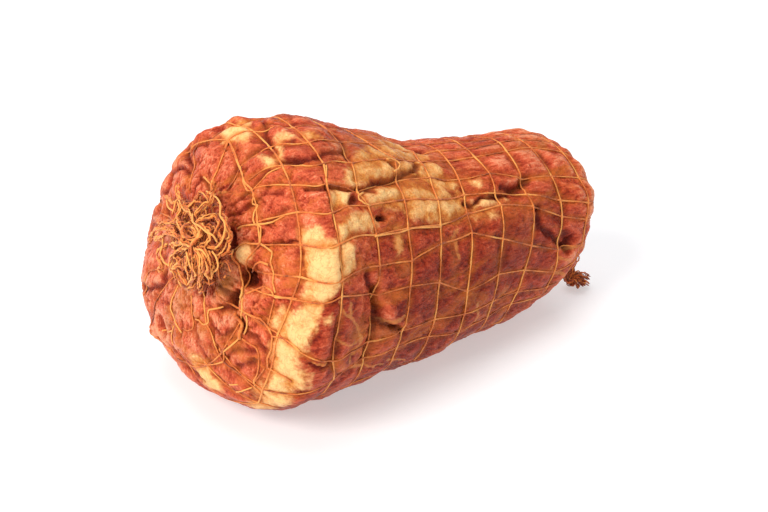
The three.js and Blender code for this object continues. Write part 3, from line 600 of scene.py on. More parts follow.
hollows = [  # middle, half sizes along and round in mm, depth, how steep its rim is, darkness of the shade painted in it
    (57.5, 168, 4.5, 6, 6, 0.5, 1.0),
    (61.5, 167, 8, 10, 3.0, 0.8, 0.5),
    (54.5, 182, 3.5, 7, 6, 0.5, 1.0),
    (42, 148, 7, 8, 4, 0.8, 0.9),
    (32, 172, 4, 9, 2.5, 0.8, 0.5),
    (150.5, 141.5, 4.5, 2.2, 4, 0.6, 1.0),
    (144.5, 111, 4, 4, 2.5, 0.9, 0.6),
    (171, 115, 4, 3, 2.0, 0.8, 0.6),
    (133, 133.5, 8, 3.2, 2.5, 0.8, 0.6),
    (137, 134.5, 2.5, 1.6, 1.5, 0.6, 0.7),
    (140.5, 176, 3.2, 14, 4, 0.8, 0.7),
    (153, 191, 5, 3, 3, 0.8, 0.7),
    (63, 191, 6, 6, 2.5, 0.9, 0.55),
    (112, 227, 12, 12, 2, 1, 0.3),
    (205, 89, 5, 4, 2.5, 0.9, 0.6),
    (250, 131, 7, 4, 2.5, 0.9, 0.55),
    (277, 176, 4, 5, 3, 0.8, 0.7),
    (50, 276, 7, 7, 6, 1, 0.5),
    (36, 118, 4, 5, 2, 1, 0.5),
    (30, 200, 5, 6, 3, 1, 0.6),
]
swells = [  # soft lumps (or, below 0, dips): middle, half sizes, height
    (60, 168, 9, 10, -2.5), (118, 131, 13, 10, -3), (163, 124, 32, 6, -2), (244, 136, 16, 6, -2),
    (134, 180, 7, 22, -2), (111, 190, 6, 26, -2), (279, 171, 9, 8, -1.5), (50, 276, 9, 8, -3),
    (62, 287, 8, 8, 3.5), (47, 27, 7, 6, -4), (40, 314, 16, 14, 2.0), (60, 310, 14, 14, 2.0),
    (75, 62, 6, 7, -3.5), (90, 60, 11, 11, 3.0), (66, 52, 10, 10, 2.0), (60, 34, 9, 9, 2.5),
    (45, 5, 6, 8, -2.5), (148, 182, 7, 8, 4.0), (100, 157, 16, 16, 2), (92, 190, 15, 26, 1.8),
    (178, 112, 38, 15, 1.8), (190, 133, 26, 10, 1.8), (292, 150, 17, 16, 2.2), (76, 82, 14, 15, 3.0),
    (45, 172, 8, 18, 6.0), (100, 84, 10, 12, 2.0), (72, 108, 10, 14, 2.0), (48, 240, 12, 16, 2.0),
    (54, 156, 8, 7, 4.5), (282, 145, 8, 9, 2.5), (103, 187, 7, 12, 1.5), (90, 136, 10, 10, 1.5),
    (122, 150, 10, 6, 1.5), (262, 140, 9, 6, 1.5), (60, 207, 10, 9, 1.5), (230, 150, 16, 8, 1.0),
    (276, 84, 48, 46, 3.2), (308, 135, 28, 34, 1.6),
]
quilting = {
    "height": 0.95, "reach": 5.0, "groove": 0.4, "grooveReach": 1.2,
    "patchSize": 24, "patchShare": 0.5,  # over what length, and by how much, the quilting varies
}
fuller = [  # where the meat swells more between its cords: middle, half sizes, share more
    (85, 80, 40, 70, 1.9), (70, 110, 30, 40, 0.9), (275, 110, 60, 80, 1.8), (60, 240, 40, 60, 0.9),
    (150, 60, 90, 60, 0.7), (200, 330, 120, 90, 0.8), (70, 0, 60, 90, 0.9), (270, 230, 50, 60, 0.6),
]


def spotField(distance, angle, at, toward, halfAlong, halfRound):
    across = np.radians(angleGap(angle, toward)) * radiusAt(distance)
    return np.hypot((distance - at) / halfAlong, across / halfRound)


def dome(q):
    return np.where(q < 1, (1 - np.minimum(q, 1) ** 2) ** 2, 0)


# What each listed spot gives here: full strength at its middle, nothing past its half sizes.
def eachSpot(distance, angle, spots, spread=1.0):
    for at, toward, along, around, strength in spots:
        yield strength * dome(spotField(distance, angle, at, toward, spread * along, spread * around))


def pointTree(points):
    tree = KDTree(len(points))
    for k, point in enumerate(points.tolist()):
        tree.insert(point, k)
    tree.balance()
    return tree


def mmToNearest(tree, points):
    return np.array([tree.find(p)[2] for p in points.tolist()])


def swollenHeight(distance, angle, plain, toCord):  # the soft form that the net gives the meat
    turned = angle % 360
    quiet = np.sin(np.pi * distance / fullDistance)
    height = np.zeros(len(plain))
    for rise, length, turns, phase in unevenness:
        height += rise * quiet * np.sin(2 * np.pi * distance / length + turns * np.radians(angle) + phase)
    height -= roast["sink"]
    for lump in eachSpot(distance, turned, swells):
        height += lump
    fullness = np.ones(len(plain))
    for more in eachSpot(distance, turned, fuller):
        fullness += more
    fullness *= 1 + quilting["patchShare"] * noiseField(plain, quilting["patchSize"], 5.3)
    height += quilting["height"] * fullness * (1 - np.exp(-(toCord / quilting["reach"]) ** 2))
    height -= quilting["groove"] * np.exp(-(toCord / quilting["grooveReach"]) ** 2)
    return height


def cutHeight(height, distance, angle):  # with the seams and the hollows, and the shade painted into them
    crevice = np.zeros(len(height))
    for route, depth, width, darkness in seams:
        gap = lineDistance(distance, angle, route)
        height -= depth * np.exp(-(gap / width) ** 2)
        crevice = np.maximum(crevice, darkness * np.exp(-(gap / (skin["seamShade"] * width)) ** 2))
    for at, toward, along, around, depth, rim, darkness in hollows:
        q = spotField(distance, angle, at, toward, along, around)
        height -= depth * smoothStep((1 - q) / rim)
        crevice = np.maximum(crevice, darkness * smoothStep(skin["hollowShade"] * (1 - q) / rim))
    return height, crevice


def fatDepth(distance, angle):  # from -1, far outside the fat, to 1, well inside it
    depth = np.full(len(distance), skin["outside"])
    for outline in fatPatches:
        depth = np.maximum(depth, insideBy(distance, angle, outline))
    return np.clip(depth / skin["fatEdge"], -1, 1)


def membraneField(distance, angle):
    found = np.zeros(len(distance))
    for route in membranes:
        gap = lineDistance(distance, angle, route)
        found = np.maximum(found, np.exp(-(gap / skin["membraneWidth"]) ** 2))
    return found


def strongestSpot(distance, angle, spots, spread):
    found = np.zeros(len(distance))
    for strength in eachSpot(distance, angle, spots, spread):
        found = np.maximum(found, strength)
    return found


# Everything known about each point of the skin: its height above the plain form and its looks.
def skinFields(distance, angle):
    plain = plainPoint(distance, angle)
    stray = skin["stray"] * noiseField(plain, skin["straySize"], 31.7, 3)
    strayAcross = skin["stray"] * noiseField(plain, skin["straySize"], 87.1, 3)
    # The same place, strayed, for edges that aren't smooth.
    radius = np.maximum(radiusAt(distance), skin["narrowest"])
    place = distance + stray, angle % 360 + np.degrees(strayAcross / radius)

    tight = [plainPoint(c["distance"], c["angle"]) for c in courses if c["kind"] != "loose"]
    toCord = mmToNearest(pointTree(np.concatenate(tight)), plain)
    height, crevice = cutHeight(swollenHeight(distance, angle, plain, toCord), *place)

    fat = fatDepth(*place)
    inFat = smoothStep(skin["fatAtOutline"] + skin["fatSlope"] * fat)
    onFace = smoothStep((skin["faceEdge"] - distance) / skin["faceFade"])
    for size, rise, octaves in skin["lumps"]:
        lump = rise * noiseField(plain, size, size, octaves)
        height += lump * (1 - skin["lumpsCalmed"] * inFat) * (1 + skin["lumpsStirred"] * onFace)
    # Sinews and creases: narrow furrows where a slow field passes through zero, with shade painted into them.
    bent = plain + skin["furrowBend"] * np.stack([stray, strayAcross, stray], -1)
    for size, seed, depth, width in skin["furrows"]:
        furrow = depth * np.exp(-(noiseField(bent, size, seed, 2) / width) ** 2)
        height -= furrow * (1 - skin["furrowsCalmed"] * inFat) * (1 + skin["furrowsStirred"] * onFace)
        shade = skin["furrowShade"] + skin["furrowShadeOnFace"] * onFace
        crevice = np.maximum(crevice, furrow * (1 - skin["furrowShadeCalmed"] * inFat) * shade)
    # Fibres that run along the side, and lobules in the fat.
    combed = np.radians(angle) * radiusAt(distance)
    combed = np.stack([distance / skin["fibreStretch"], combed, 0 * distance], -1)
    onSide = smoothStep((distance - skin["fibresFrom"]) / skin["fibresFade"])
    height += skin["fibreHeight"] * noiseField(combed, skin["fibreSize"], 4.4, 2) * (1 - inFat) * onSide
    swayed = plain + skin["lobuleBend"] * stray[:, None]
    for size, rise in skin["lobules"]:
        cells = np.array([noise.voronoi(p)[0][0] for p in (swayed / size).tolist()])
        height += inFat * rise * (skin["lobuleLevel"] - cells)

    # Painted light: the lean is paler towards the cut end, less so towards the top, partly the cut end's own
    # tone.
    nearEnd = smoothStep((skin["lightEdge"] - place[0]) / skin["lightFade"])
    light = nearEnd * (skin["lightLevel"] - skin["lightSlope"] * np.sin(np.radians(angle)))
    for strength in eachSpot(*place, lights, skin["colourSpread"]):
        light += strength
    looks = {"fat": fat, "crevice": crevice, "light": light, "onFace": onFace,
             "membrane": membraneField(*place),
             "tan": strongestSpot(*place, tans, skin["tanSpread"]),
             "dark": strongestSpot(*place, darks, skin["colourSpread"]),
             "nearCord": np.exp(-(toCord / skin["stainAndShadeReach"]) ** 2)}
    return height, looks


# The skin's mesh: rows of quads round the body, and a square grid drawn over each end.
skinGrid = {
    "side": 94, "nearEdge": 45.0, "farEdge": 301.0, "rows": 212,
    "frontShare": 0.9, "frontAngle": 150, "frontReach": 110,  # the quads are narrower where the roast is seen
}


def skinCoordinates():
    side, rows = skinGrid["side"], skinGrid["rows"]
    columns = 4 * side
    fine = np.linspace(0, 360, 3601)
    crowd = smoothStep(1 - np.abs(fine - skinGrid["frontAngle"]) / skinGrid["frontReach"])
    crowd = 1 + skinGrid["frontShare"] * crowd
    share = np.concatenate([[0], np.cumsum((crowd[1:] + crowd[:-1]) / 2)])
    angles = np.interp(np.linspace(0, 1, columns + 1), share / share[-1], fine)
    across = np.linspace(-1, 1, side + 1)
    a, b = np.meshgrid(across, across, indexing="ij")
    reach = np.maximum(np.abs(a), np.abs(b))
    safe = np.maximum(reach, 1e-9)
    turn = np.select(
        [b <= -reach + 1e-12, a >= reach - 1e-12, b >= reach - 1e-12],
        [(a / safe + 1) / 2, 1 + (b / safe + 1) / 2, 2 + (1 - a / safe) / 2],
        3 + (1 - b / safe) / 2)
    column = np.round(turn * side).astype(int) % columns
    capAngle = np.interp((turn * side) % columns, np.arange(columns + 1), angles)
    inner = np.zeros((side + 1, side + 1), bool)
    inner[1:-1, 1:-1] = True

    rowDistance = np.linspace(skinGrid["nearEdge"], skinGrid["farEdge"], rows + 1)
    distance = [np.repeat(rowDistance, columns)]
    angle = [np.tile(angles[:-1], rows + 1)]
    body = np.arange((rows + 1) * columns).reshape(rows + 1, columns)
    faces = []
    following = np.roll(body, -1, axis=1)
    faces.append(np.stack([body[:-1], following[:-1], following[1:], body[1:]], -1).reshape(-1, 4))
    start = body.size
    for edgeRow, edgeDistance, poleDistance, flip in (
            (body[0], skinGrid["nearEdge"], 0.0, True), (body[-1], skinGrid["farEdge"], fullDistance, False)):
        index = np.zeros((side + 1, side + 1), int)
        index[~inner] = edgeRow[column[~inner]]
        index[inner] = start + np.arange(inner.sum())
        start += inner.sum()
        distance.append(poleDistance + (edgeDistance - poleDistance) * reach[inner])
        angle.append(capAngle[inner])
        quads = np.stack([index[:-1, :-1], index[1:, :-1], index[1:, 1:], index[:-1, 1:]], -1).reshape(-1, 4)
        faces.append(quads[:, ::-1] if flip else quads)
    return np.concatenate(distance), np.concatenate(angle), np.concatenate(faces)


def meshPiece(name, points, faces, fields=None):
    mesh = bpy.data.meshes.new(name)
    mesh.from_pydata((points * metres).tolist(), [], [list(f) for f in faces])
    for key, values in (fields or {}).items():
        mesh.attributes.new(key, "FLOAT", "POINT").data.foreach_set("value", values.astype(np.float32))
    mesh.shade_smooth()
    mesh.update()
    piece = bpy.data.objects.new(name, mesh)
    scene.collection.objects.link(piece)
    return piece


def outwardFacing(points, faces):  # whether a closed skin's faces point out, by its volume
    a, b, c = (points[faces[:, k]] for k in range(3))
    d = points[faces[:, 3]]
    volume = (np.einsum("ij,ij->i", a, np.cross(b, c)) + np.einsum("ij,ij->i", a, np.cross(c, d))).sum()
    return volume > 0


def evenOut(values, faces, rounds):
    edges = np.concatenate([faces[:, [0, 1]], faces[:, [1, 2]], faces[:, [2, 3]], faces[:, [3, 0]]])
    count = np.bincount(edges.ravel(), minlength=len(values))
    for _ in range(rounds):
        total = (np.bincount(edges[:, 0], values[edges[:, 1]], len(values))
                 + np.bincount(edges[:, 1], values[edges[:, 0]], len(values)))
        values = total / count
    return values


def makePork():
    distance, angle, faces = skinCoordinates()
    height, looks = skinFields(distance, angle)
    points = plainPoint(distance, angle) + outward(distance, angle) * height[:, None]
    # Painted light and shade: the skin is coloured paler where it stands above its surroundings, deeper where
    # it lies below them.
    evened = evenOut(height, faces, skin["ridgeRounds"])
    looks["ridge"] = np.clip((height - evened) / skin["ridgeHeight"], -1, 1)
    points[:, 2] = np.maximum(points[:, 2], 0)
    if not outwardFacing(points, faces):
        faces = faces[:, ::-1]
    piece = meshPiece("smokedPork", points, faces.tolist(), looks)
    print("pork made:", len(points), "points,", 2 * len(faces), "triangles")
    return piece, points, faces


def transported(path, guide):  # a sideways direction that is carried along a path without twist
    tangent = unit(np.gradient(path, axis=0))
    side = np.zeros_like(path)
    current = np.cross(tangent[0], guide)
    if np.linalg.norm(current) < 1e-3:
        current = np.cross(tangent[0], (0.3, 0.8, 0.5))
    for k in range(len(path)):
        current = current - tangent[k] * np.dot(current, tangent[k])
        current = current / np.linalg.norm(current)
        side[k] = current
    return side, np.cross(side, tangent)


class Cords:  # gathers tubes and turns them into one piece
    def __init__(self):
        self.points, self.faces, self.pale, self.count = [], [], [], 0

    def add(self, path, side, up, halfWidth, halfHeight, pale, closed=False, sides=6):
        turn = 2 * np.pi * np.arange(sides) / sides
        ringPoints = (path[:, None] + side[:, None] * (np.cos(turn)[None, :, None] * halfWidth[:, None, None])
                      + up[:, None] * (np.sin(turn)[None, :, None] * halfHeight[:, None, None]))
        n = len(path)
        index = self.count + np.arange(n * sides).reshape(n, sides)
        nextRound = np.roll(index, -1, axis=1)
        if closed:
            a, b = index, nextRound
            c, d = np.roll(nextRound, -1, axis=0), np.roll(index, -1, axis=0)
        else:
            a, b, c, d = index[:-1], nextRound[:-1], nextRound[1:], index[1:]
        self.faces += np.stack([a, d, c, b], -1).reshape(-1, 4).tolist()
        self.points.append(ringPoints.reshape(-1, 3))
        self.pale.append(np.repeat(pale, sides))
        self.count += n * sides
        if not closed:
            self.faces.append(index[0].tolist())
            self.faces.append(index[-1][::-1].tolist())

    def piece(self, name):
        points = np.concatenate(self.points)
        return meshPiece(name, points, self.faces, {"pale": np.concatenate(self.pale)})


def blur(values, width, closed):
    reach = int(3 * width)
    weights = np.exp(-0.5 * (np.arange(-reach, reach + 1) / width) ** 2)
    padded = np.pad(values, reach, mode="wrap" if closed else "edge")
    return np.convolve(padded, weights / weights.sum(), mode="valid")


def meatHeight(tree, plain, out):  # how far the meat stands out of the plain form
    height = np.full(len(plain), -roast["sink"])
    starts = (plain + net["castFrom"] * out).tolist()
    for k, (start, direction) in enumerate(zip(starts, (-out).tolist())):
        hit = tree.ray_cast(start, direction, net["castReach"])
        if hit[0] is not None:
            height[k] = net["castFrom"] - hit[3]
    return height


def makeNet(porkPoints, porkFaces):
    tree = BVHTree.FromPolygons(porkPoints.tolist(), porkFaces.tolist())
    crossTree = pointTree(np.concatenate([plainPoint(row[:, 0], row[:, 1]) for row in crossings]))
    cords = Cords()
    for course in courses:
        distance, angle, closed, radius = (course[key] for key in ("distance", "angle", "closed", "radius"))
        plain, out = plainPoint(distance, angle), outward(distance, angle)
        height = meatHeight(tree, plain, out)
        taut = blur(height, net["tautOver"], closed)
        knot = net["knot"] if course["kind"] in ("ring", "strand") else 0
        knots = 1 + knot * np.exp(-(mmToNearest(crossTree, plain) / net["knotReach"]) ** 2)
        wide = radius * knots * (1 + net["wobble"] * noiseField(plain, net["wobbleSize"], radius * 10, 2))
        above = np.maximum(taut, height - net["pressedIn"]) + radius * net["offMeat"] + course["lift"]
        path = plain + out * above[:, None]
        path[:, 2] = np.maximum(path[:, 2], radius * net["offFloor"])
        if closed:
            tangent = unit(np.roll(path, -1, axis=0) - np.roll(path, 1, axis=0))
        else:
            tangent = unit(np.gradient(path, axis=0))
        side = unit(np.cross(tangent, out))
        up = np.cross(side, tangent)
        tone = net["toneSpread"] * noiseField(plain, net["toneSize"], radius * 31, 2)
        pale = np.clip(course["pale"] + tone, 0, 1)
        cords.add(path, side, up, net["width"] * wide, net["height"] * wide, pale, closed)
    piece = cords.piece("netCords")
    print("net made:", cords.count, "points")
    return piece


# Courses of the near tuft, as mm across the end face, up it and out of it.
tuftStrings = [  # smooth elastic strings
    [(-4, 28, 3), (7, 30, 5), (15, 31, 6), (21, 30, 7), (25, 27, 8), (26, 26, 8), (32, 25, 8), (36, 23, 9),
     (37, 19, 9), (36, 15, 9), (34, 11, 10)],
    [(9, 19, 14), (16, 17, 16), (23, 18, 16), (31, 18, 15), (34, 18, 13), (35, 15, 10)],
    [(27, 7, 17), (33, 9, 16), (36, 8, 15), (35, 5, 12)],
    [(22, 3, 18), (26, 1, 18), (29, -2, 17), (29, -4, 15), (25, -10, 12), (19, -15, 9), (13, -21, 6)],
    [(-19, -5, 11), (-14, -6, 13), (-12, -9, 13), (-12, -13, 13), (-9, -15, 12), (-4, -15, 13), (2, -14, 12)],
    [(-18, 13, 8), (-11, 13, 10), (-9, 10, 12), (-11, 6, 12)],
    [(-16, 1, 12), (-21, -3, 12), (-31, -10, 9)],
    [(34, 10, 11), (39, 8, 10), (41, 5, 9), (39, 2, 8), (34, -2, 7)],
    [(8, -19, 9), (9, -22, 6)],
    [(-38, 8, 5), (-26, 8, 9), (-19, 9, 9)],
    [(-18, 16, 7), (-8, 16, 8)],
]
tuftRopes = [  # ruffled ropes of gathered net
    [(-2, 35, 2), (-1, 32, 2), (1, 30, 2), (2, 28, 5)],
    [(5, 30, 4), (11, 29, 7), (11, 25, 10), (11, 22, 12), (10, 19, 12), (11, 19, 11)],
    [(21, 25, 6), (21, 24, 9), (21, 23, 12), (18, 20, 13), (16, 17, 14)],
    [(22, 26, 6), (29, 26, 7), (33, 24, 7), (36, 22, 6), (37, 20, 5), (36, 17, 6)],
    [(35, 18, 4), (38, 13, 6), (37, 10, 7), (34, 7, 8)],
    [(20, 23, 7), (28, 23, 8), (30, 20, 10), (30, 17, 10)],
    [(11, 14, 14), (9, 12, 16), (11, 9, 17), (18, 9, 17), (22, 11, 16), (20, 13, 15), (12, 13, 14)],
    [(-31, -4, 9), (-17, 3, 13), (-4, 8, 14), (4, 9, 15), (8, 7, 15)],
    [(-42, -18, 5), (-36, -12, 8), (-26, -5, 11), (-13, 1, 13), (0, 5, 15)],
    [(-30, -12, 9), (-18, -6, 12), (-6, 1, 15), (5, 4, 16), (12, 4, 16)],
    [(-4, -5, 13), (7, 1, 16), (16, 5, 17), (24, 7, 17)],
    [(26, 15, 14), (26, 13, 16), (26, 9, 18), (24, 7, 17)],
    [(24, 7, 17), (24, 2, 17), (22, -3, 16), (22, -8, 13), (19, -15, 8)],
    [(25, 7, 17), (29, 3, 17), (30, -3, 15), (25, -10, 11), (19, -17, 6)],
    [(27, 8, 17), (33, 4, 16), (34, -1, 14), (30, -8, 10), (24, -15, 6)],
    [(27, 8, 16), (35, 6, 15), (35, 0, 14), (29, -8, 9)],
    [(28, 8, 15), (36, 6, 14), (38, 2, 12), (35, -2, 11), (35, -5, 7)],
    [(27, 9, 14), (35, 8, 13), (37, 3, 11), (36, -4, 7)],
    [(21, 5, 17), (13, 1, 16), (8, -4, 16), (3, -10, 14), (2, -15, 12), (6, -16, 11), (4, -22, 7)],
    [(3, -7, 14), (12, -6, 15), (11, -9, 14), (4, -14, 12)],
    [(-9, -7, 12), (-16, -13, 12), (-16, -17, 11), (-12, -19, 10), (-17, -24, 8), (-13, -24, 8)],
    [(16, 15, 14), (23, 16, 15), (26, 12, 16), (25, 8, 17)],
    [(17, 17, 13), (27, 18, 13), (31, 16, 13), (30, 12, 13), (26, 8, 14)],
    [(7, -13, 11), (14, -15, 10), (16, -18, 7)],
    [(-37, 19, 2), (-33, 15, 3), (-22, 14, 6)],
    [(-21, 15, 7), (-24, 12, 8), (-37, 9, 5), (-44, 8, 3)],
    [(-21, 14, 7), (-19, 12, 9), (-15, 9, 11)],
    [(-20, 15, 7), (-10, 15, 9), (0, 16, 11), (7, 15, 12)],
    [(-22, 14, 7), (-13, 13, 9), (-10, 10, 11), (0, 9, 13)],
    [(32, 9, 9), (33, 7, 12), (35, 4, 10), (35, 1, 7)],
    [(28, 21, 5), (30, 19, 8), (34, 17, 8), (32, 20, 5)],
    [(19, -1, 15), (15, -5, 15), (16, -8, 13), (20, -6, 13)],
    [(27, 11, 12), (31, 11, 11), (33, 12, 8), (32, 14, 6)],
]
nearTuft = {
    "ropeRadius": 1.1, "strands": 4, "strandRadius": 0.46, "crinkle": 0.75,
    "stringRadius": 0.5, "stringWaver": 0.12,
    "ropePale": 0.5, "stringPale": 0.9, "toneSpread": 0.28,
    "tip": 1.6, "tipShare": 0.45,  # how a cord tapers at its ends
    "step": 0.75,
    # The curls that fill the mass below the ropes.
    "curls": 36, "curlStrands": 3, "curlPale": 0.22, "curlSize": (4, 8), "curlBend": 1.15, "curlDrift": 0.8,
    "curlTurn": 2.39996,
    "curlPoints": 6, "curlFoot": 0.25, "lowest": 1.0,
    "middle": (8, 4), "reach": (27, 21), "rise": 13.0,
}
farTuft = {
    "ends": 16, "radius": 1.1, "strands": 3, "pale": 0.18, "spread": 15.0,
    "rootSpread": 0.4, "rootOut": 1.5,  # how the ends leave the pole
    "shoulderSpread": 0.6, "shoulderOut": (5, 8), "shoulderDrop": (2, 5), "sag": (6, 9),
    "landing": (9, -8), "landingSpread": 0.4, "scatter": 3, "rest": (2.5, 10.0),
    "splay": (10, 17), "splayAcross": 0.6, "firstTurn": -75, "turn": 85,
    "tipRest": (2.5, 6.5), "arch": 1.5, "lowest": 1.5,
    "floor": 0.1,               # no part of a strand is lower than this
}
# What the tufts' strings and ropes share. Each pair is an amount and the size it varies over.
rope = {
    "waverSize": 3.4, "stringTone": (0.3, 7),
    "crinkleSize": 2.3,
    "twist": (3.2, 11),
    "apart": 0.75, "apartSpread": 0.7,  # how far its strands lie from its course, against its radius
    "swell": (0.55, 3.1),
    "toneTurn": 2.4, "tone": (0.35, 6),
    "width": 1.25, "height": 0.8,
}


def faceFrame(distance):
    inside = np.clip(distance, 3, fullDistance - 3)
    out = unit(outward(np.full(12, inside), np.arange(0, 360, 30.0)).sum(0))
    across = unit(np.cross((0, 0, 1), out))
    up = np.cross(out, across)
    pole = plainPoint(np.array([distance]), np.array([90.0]))[0] - roast["sink"] * out
    return pole, across, up, out


def throughPoints(controls, step):  # a smooth course through given points
    p = np.array(controls, float)
    p = np.vstack([2 * p[0] - p[1], p, 2 * p[-1] - p[-2]])
    pieces = []
    for k in range(1, len(p) - 2):
        s = np.linspace(0, 1, 12, endpoint=False)[:, None]
        a, b, c, d = p[k - 1], p[k], p[k + 1], p[k + 2]
        pieces.append(0.5 * (2 * b + (c - a) * s + (2 * a - 5 * b + 4 * c - d) * s**2
                             + (3 * b - a - 3 * c + d) * s**3))
    fine = np.vstack(pieces + [p[-2:-1]])
    length = np.concatenate([[0], np.cumsum(np.linalg.norm(np.diff(fine, axis=0), axis=1))])
    at = np.linspace(0, length[-1], max(int(length[-1] / step), 4))
    return np.stack([np.interp(at, length, fine[:, k]) for k in range(3)], -1), at


# A string is one round cord. A rope is a few thin crinkled strands that wind round its course.
def addRope(cords, controls, guide, radius, strands, pale, seed):
    path, at = throughPoints(controls, nearTuft["step"])
    side, up = transported(path, guide)
    tips = smoothStep(np.minimum(at, at[-1] - at) / nearTuft["tip"] + nearTuft["tipShare"])
    if strands == 1:
        waver = np.stack([noiseField(path, rope["waverSize"], seed + 9 * k, 2) for k in range(3)], -1)
        path = path + nearTuft["stringWaver"] * waver
        amount, size = rope["stringTone"]
        tone = np.clip(pale + amount * noiseField(path, size, seed + 3, 2), 0, 1)
        cords.add(path, side, up, radius * tips, radius * tips, tone)
        return
    (twist, twistSize), (swell, swellSize), (amount, size) = rope["twist"], rope["swell"], rope["tone"]
    for k in range(strands):
        crinkle = [noiseField(path, rope["crinkleSize"], seed + 13 * k + 9 * j, 2) for j in range(3)]
        crinkle = np.stack(crinkle, -1)
        turn = seed + 2 * math.pi * k / strands + twist * noiseField(path, twistSize, seed + 41 + k)
        spread = radius * (rope["apart"] + rope["apartSpread"] * crinkle[:, 0])
        strand = path + (side * np.cos(turn)[:, None] + up * np.sin(turn)[:, None]) * spread[:, None]
        strand = strand + nearTuft["crinkle"] * crinkle
        wide = nearTuft["strandRadius"] * (1 + swell * noiseField(path, swellSize, seed + 77 + k, 2)) * tips
        tone = pale + nearTuft["toneSpread"] * math.sin(seed + rope["toneTurn"] * k)
        tone = np.clip(tone + amount * noiseField(path, size, seed + 3 + k, 2), 0, 1)
        cords.add(strand, side, up, rope["width"] * wide, rope["height"] * wide, tone, sides=5)


def curlCourse(k, roll):
    share = math.sqrt((k + 0.5) / nearTuft["curls"])
    turn = nearTuft["curlTurn"] * k
    x = nearTuft["middle"][0] + nearTuft["reach"][0] * share * math.cos(turn)
    y = nearTuft["middle"][1] + nearTuft["reach"][1] * share * math.sin(turn)
    top = nearTuft["rise"] * math.sqrt(max(1 - share**2, 0.05))
    heading = 2 * math.pi * roll.random()
    small, large = nearTuft["curlSize"]
    size = small + (large - small) * roll.random()
    course = []
    foot, count = nearTuft["curlFoot"], nearTuft["curlPoints"]
    for j in range(count):
        bend = heading + nearTuft["curlBend"] * j * (1 if k % 2 else -1)
        lift = top * (foot + (1 - foot) * math.sin(math.pi * (j + 0.5) / count))
        course.append((x + size * math.cos(bend) + nearTuft["curlDrift"] * j, y + size * math.sin(bend),
                       max(lift, nearTuft["lowest"])))
    return course


def makeNearTuft():
    pole, across, up, out = faceFrame(0.0)
    axes = np.array([across, up, out])
    cords = Cords()
    roll = np.random.default_rng(23)

    def lay(controls, radius, strands, pale):
        placed = pole + np.array(controls, float) @ axes
        addRope(cords, placed, out, radius, strands, pale, 50 * roll.random())

    for controls in tuftRopes:
        lay(controls, nearTuft["ropeRadius"], nearTuft["strands"], nearTuft["ropePale"])
    for controls in tuftStrings:
        lay(controls, nearTuft["stringRadius"], 1, nearTuft["stringPale"])
    for k in range(nearTuft["curls"]):
        lay(curlCourse(k, roll), nearTuft["ropeRadius"], nearTuft["curlStrands"], nearTuft["curlPale"])
    piece = cords.piece("nearTuftCurls")
    print("near tuft made:", cords.count, "points")
    return piece


def between(limits, share):
    return limits[0] + (limits[1] - limits[0]) * share


# The ends hang from the thin end's pole, touch down in front of it and splay over the floor.
def makeFarTuft():
    pole, across, up, out = faceFrame(fullDistance)
    cords = Cords()
    roll = np.random.default_rng(41)
    landX, landY = farTuft["landing"]
    for k in range(farTuft["ends"]):
        share = k / (farTuft["ends"] - 1) - 0.5
        aside = farTuft["spread"] * share
        start = pole + across * aside * farTuft["rootSpread"] + out * farTuft["rootOut"]
        shoulder = (pole + across * aside * farTuft["shoulderSpread"]
                    + out * between(farTuft["shoulderOut"], roll.random())
                    - up * between(farTuft["shoulderDrop"], roll.random()))
        landing = np.array([pole[0] + landX + farTuft["scatter"] * roll.random(),
                            pole[1] + landY + aside * farTuft["landingSpread"],
                            between(farTuft["rest"], roll.random())])
        hang = (shoulder + landing) / 2 + np.array([between(farTuft["sag"], roll.random()), 0, 0])
        turn = math.radians(farTuft["firstTurn"] + farTuft["turn"] * (share + 0.5))
        splay = between(farTuft["splay"], roll.random())
        tip = landing + np.array([splay * math.cos(turn),
                                  farTuft["splayAcross"] * splay * math.sin(turn), 0])
        tip[2] = between(farTuft["tipRest"], roll.random())
        arch = (landing + tip) / 2 + (0, 0, farTuft["arch"])
        course = np.array([start, shoulder, hang, landing, arch, tip])
        course[:, 2] = np.maximum(course[:, 2], farTuft["lowest"])
        addRope(cords, course, out, farTuft["radius"], farTuft["strands"], farTuft["pale"],
                50 * roll.random())
    for points in cords.points:
        points[:, 2] = np.maximum(points[:, 2], farTuft["floor"])
    piece = cords.piece("farTuftEnds")
    print("far tuft made:", cords.count, "points")
    return piece


# Smoked pork: muscle cured to a salmon red and browned by smoking, which gives the eye an orange red on the
# cut end and mahogany on the sides, helped by painted light on the cut end and painted shade on the sides.
# Cream to golden fat, thin tan membranes, amber stains by the cords that are partly painted shade, painted
# shade in creases and hollows, raised places painted paler as light and low places deeper as shade, and a
# damp, broken shine.
pork = {
    "leanStops": [(0.28, "#751c0e"), (0.46, "#a73920"), (0.64, "#d76240"), (0.82, "#f09e76")],
    "fatStops": [(0.38, "#bb642a"), (0.52, "#dc8e44"), (0.80, "#fcca86")],
    # The deep smoky red is partly the meat's smoked tone and partly painted shade on the side and the top.
    "vein": "#c8602c", "tan": "#b96a2e", "smear": "#cf6e2a", "smokeAndShade": "#641d10", "membrane": "#e0934f",
    # The cords' stain is partly a real amber stain and partly painted shade in their grooves.
    # The deep red of seams, creases and hollows is painted shade.
    "creviceShadeRed": "#4c120a", "cordStainAndShade": "#ce6e2a",
    "ior": 1.42, "specular": 0.13,
    "roughness": 0.17,  # at its dampest; the mottle adds to it, to about 0.31 on the whole
    "veinWidth": 0.045, "veinShare": 0.4,
    "fibreStretch": 0.2, "faceFibreTilt": 0.5,
    "relief": 1.0,  # mm
    "glow": 0.1, "glowDepth": 3.0,  # share of light that comes back from within, and from how many mm
}
porkFields = ("fat", "membrane", "tan", "dark", "crevice", "nearCord", "ridge", "light", "onFace")
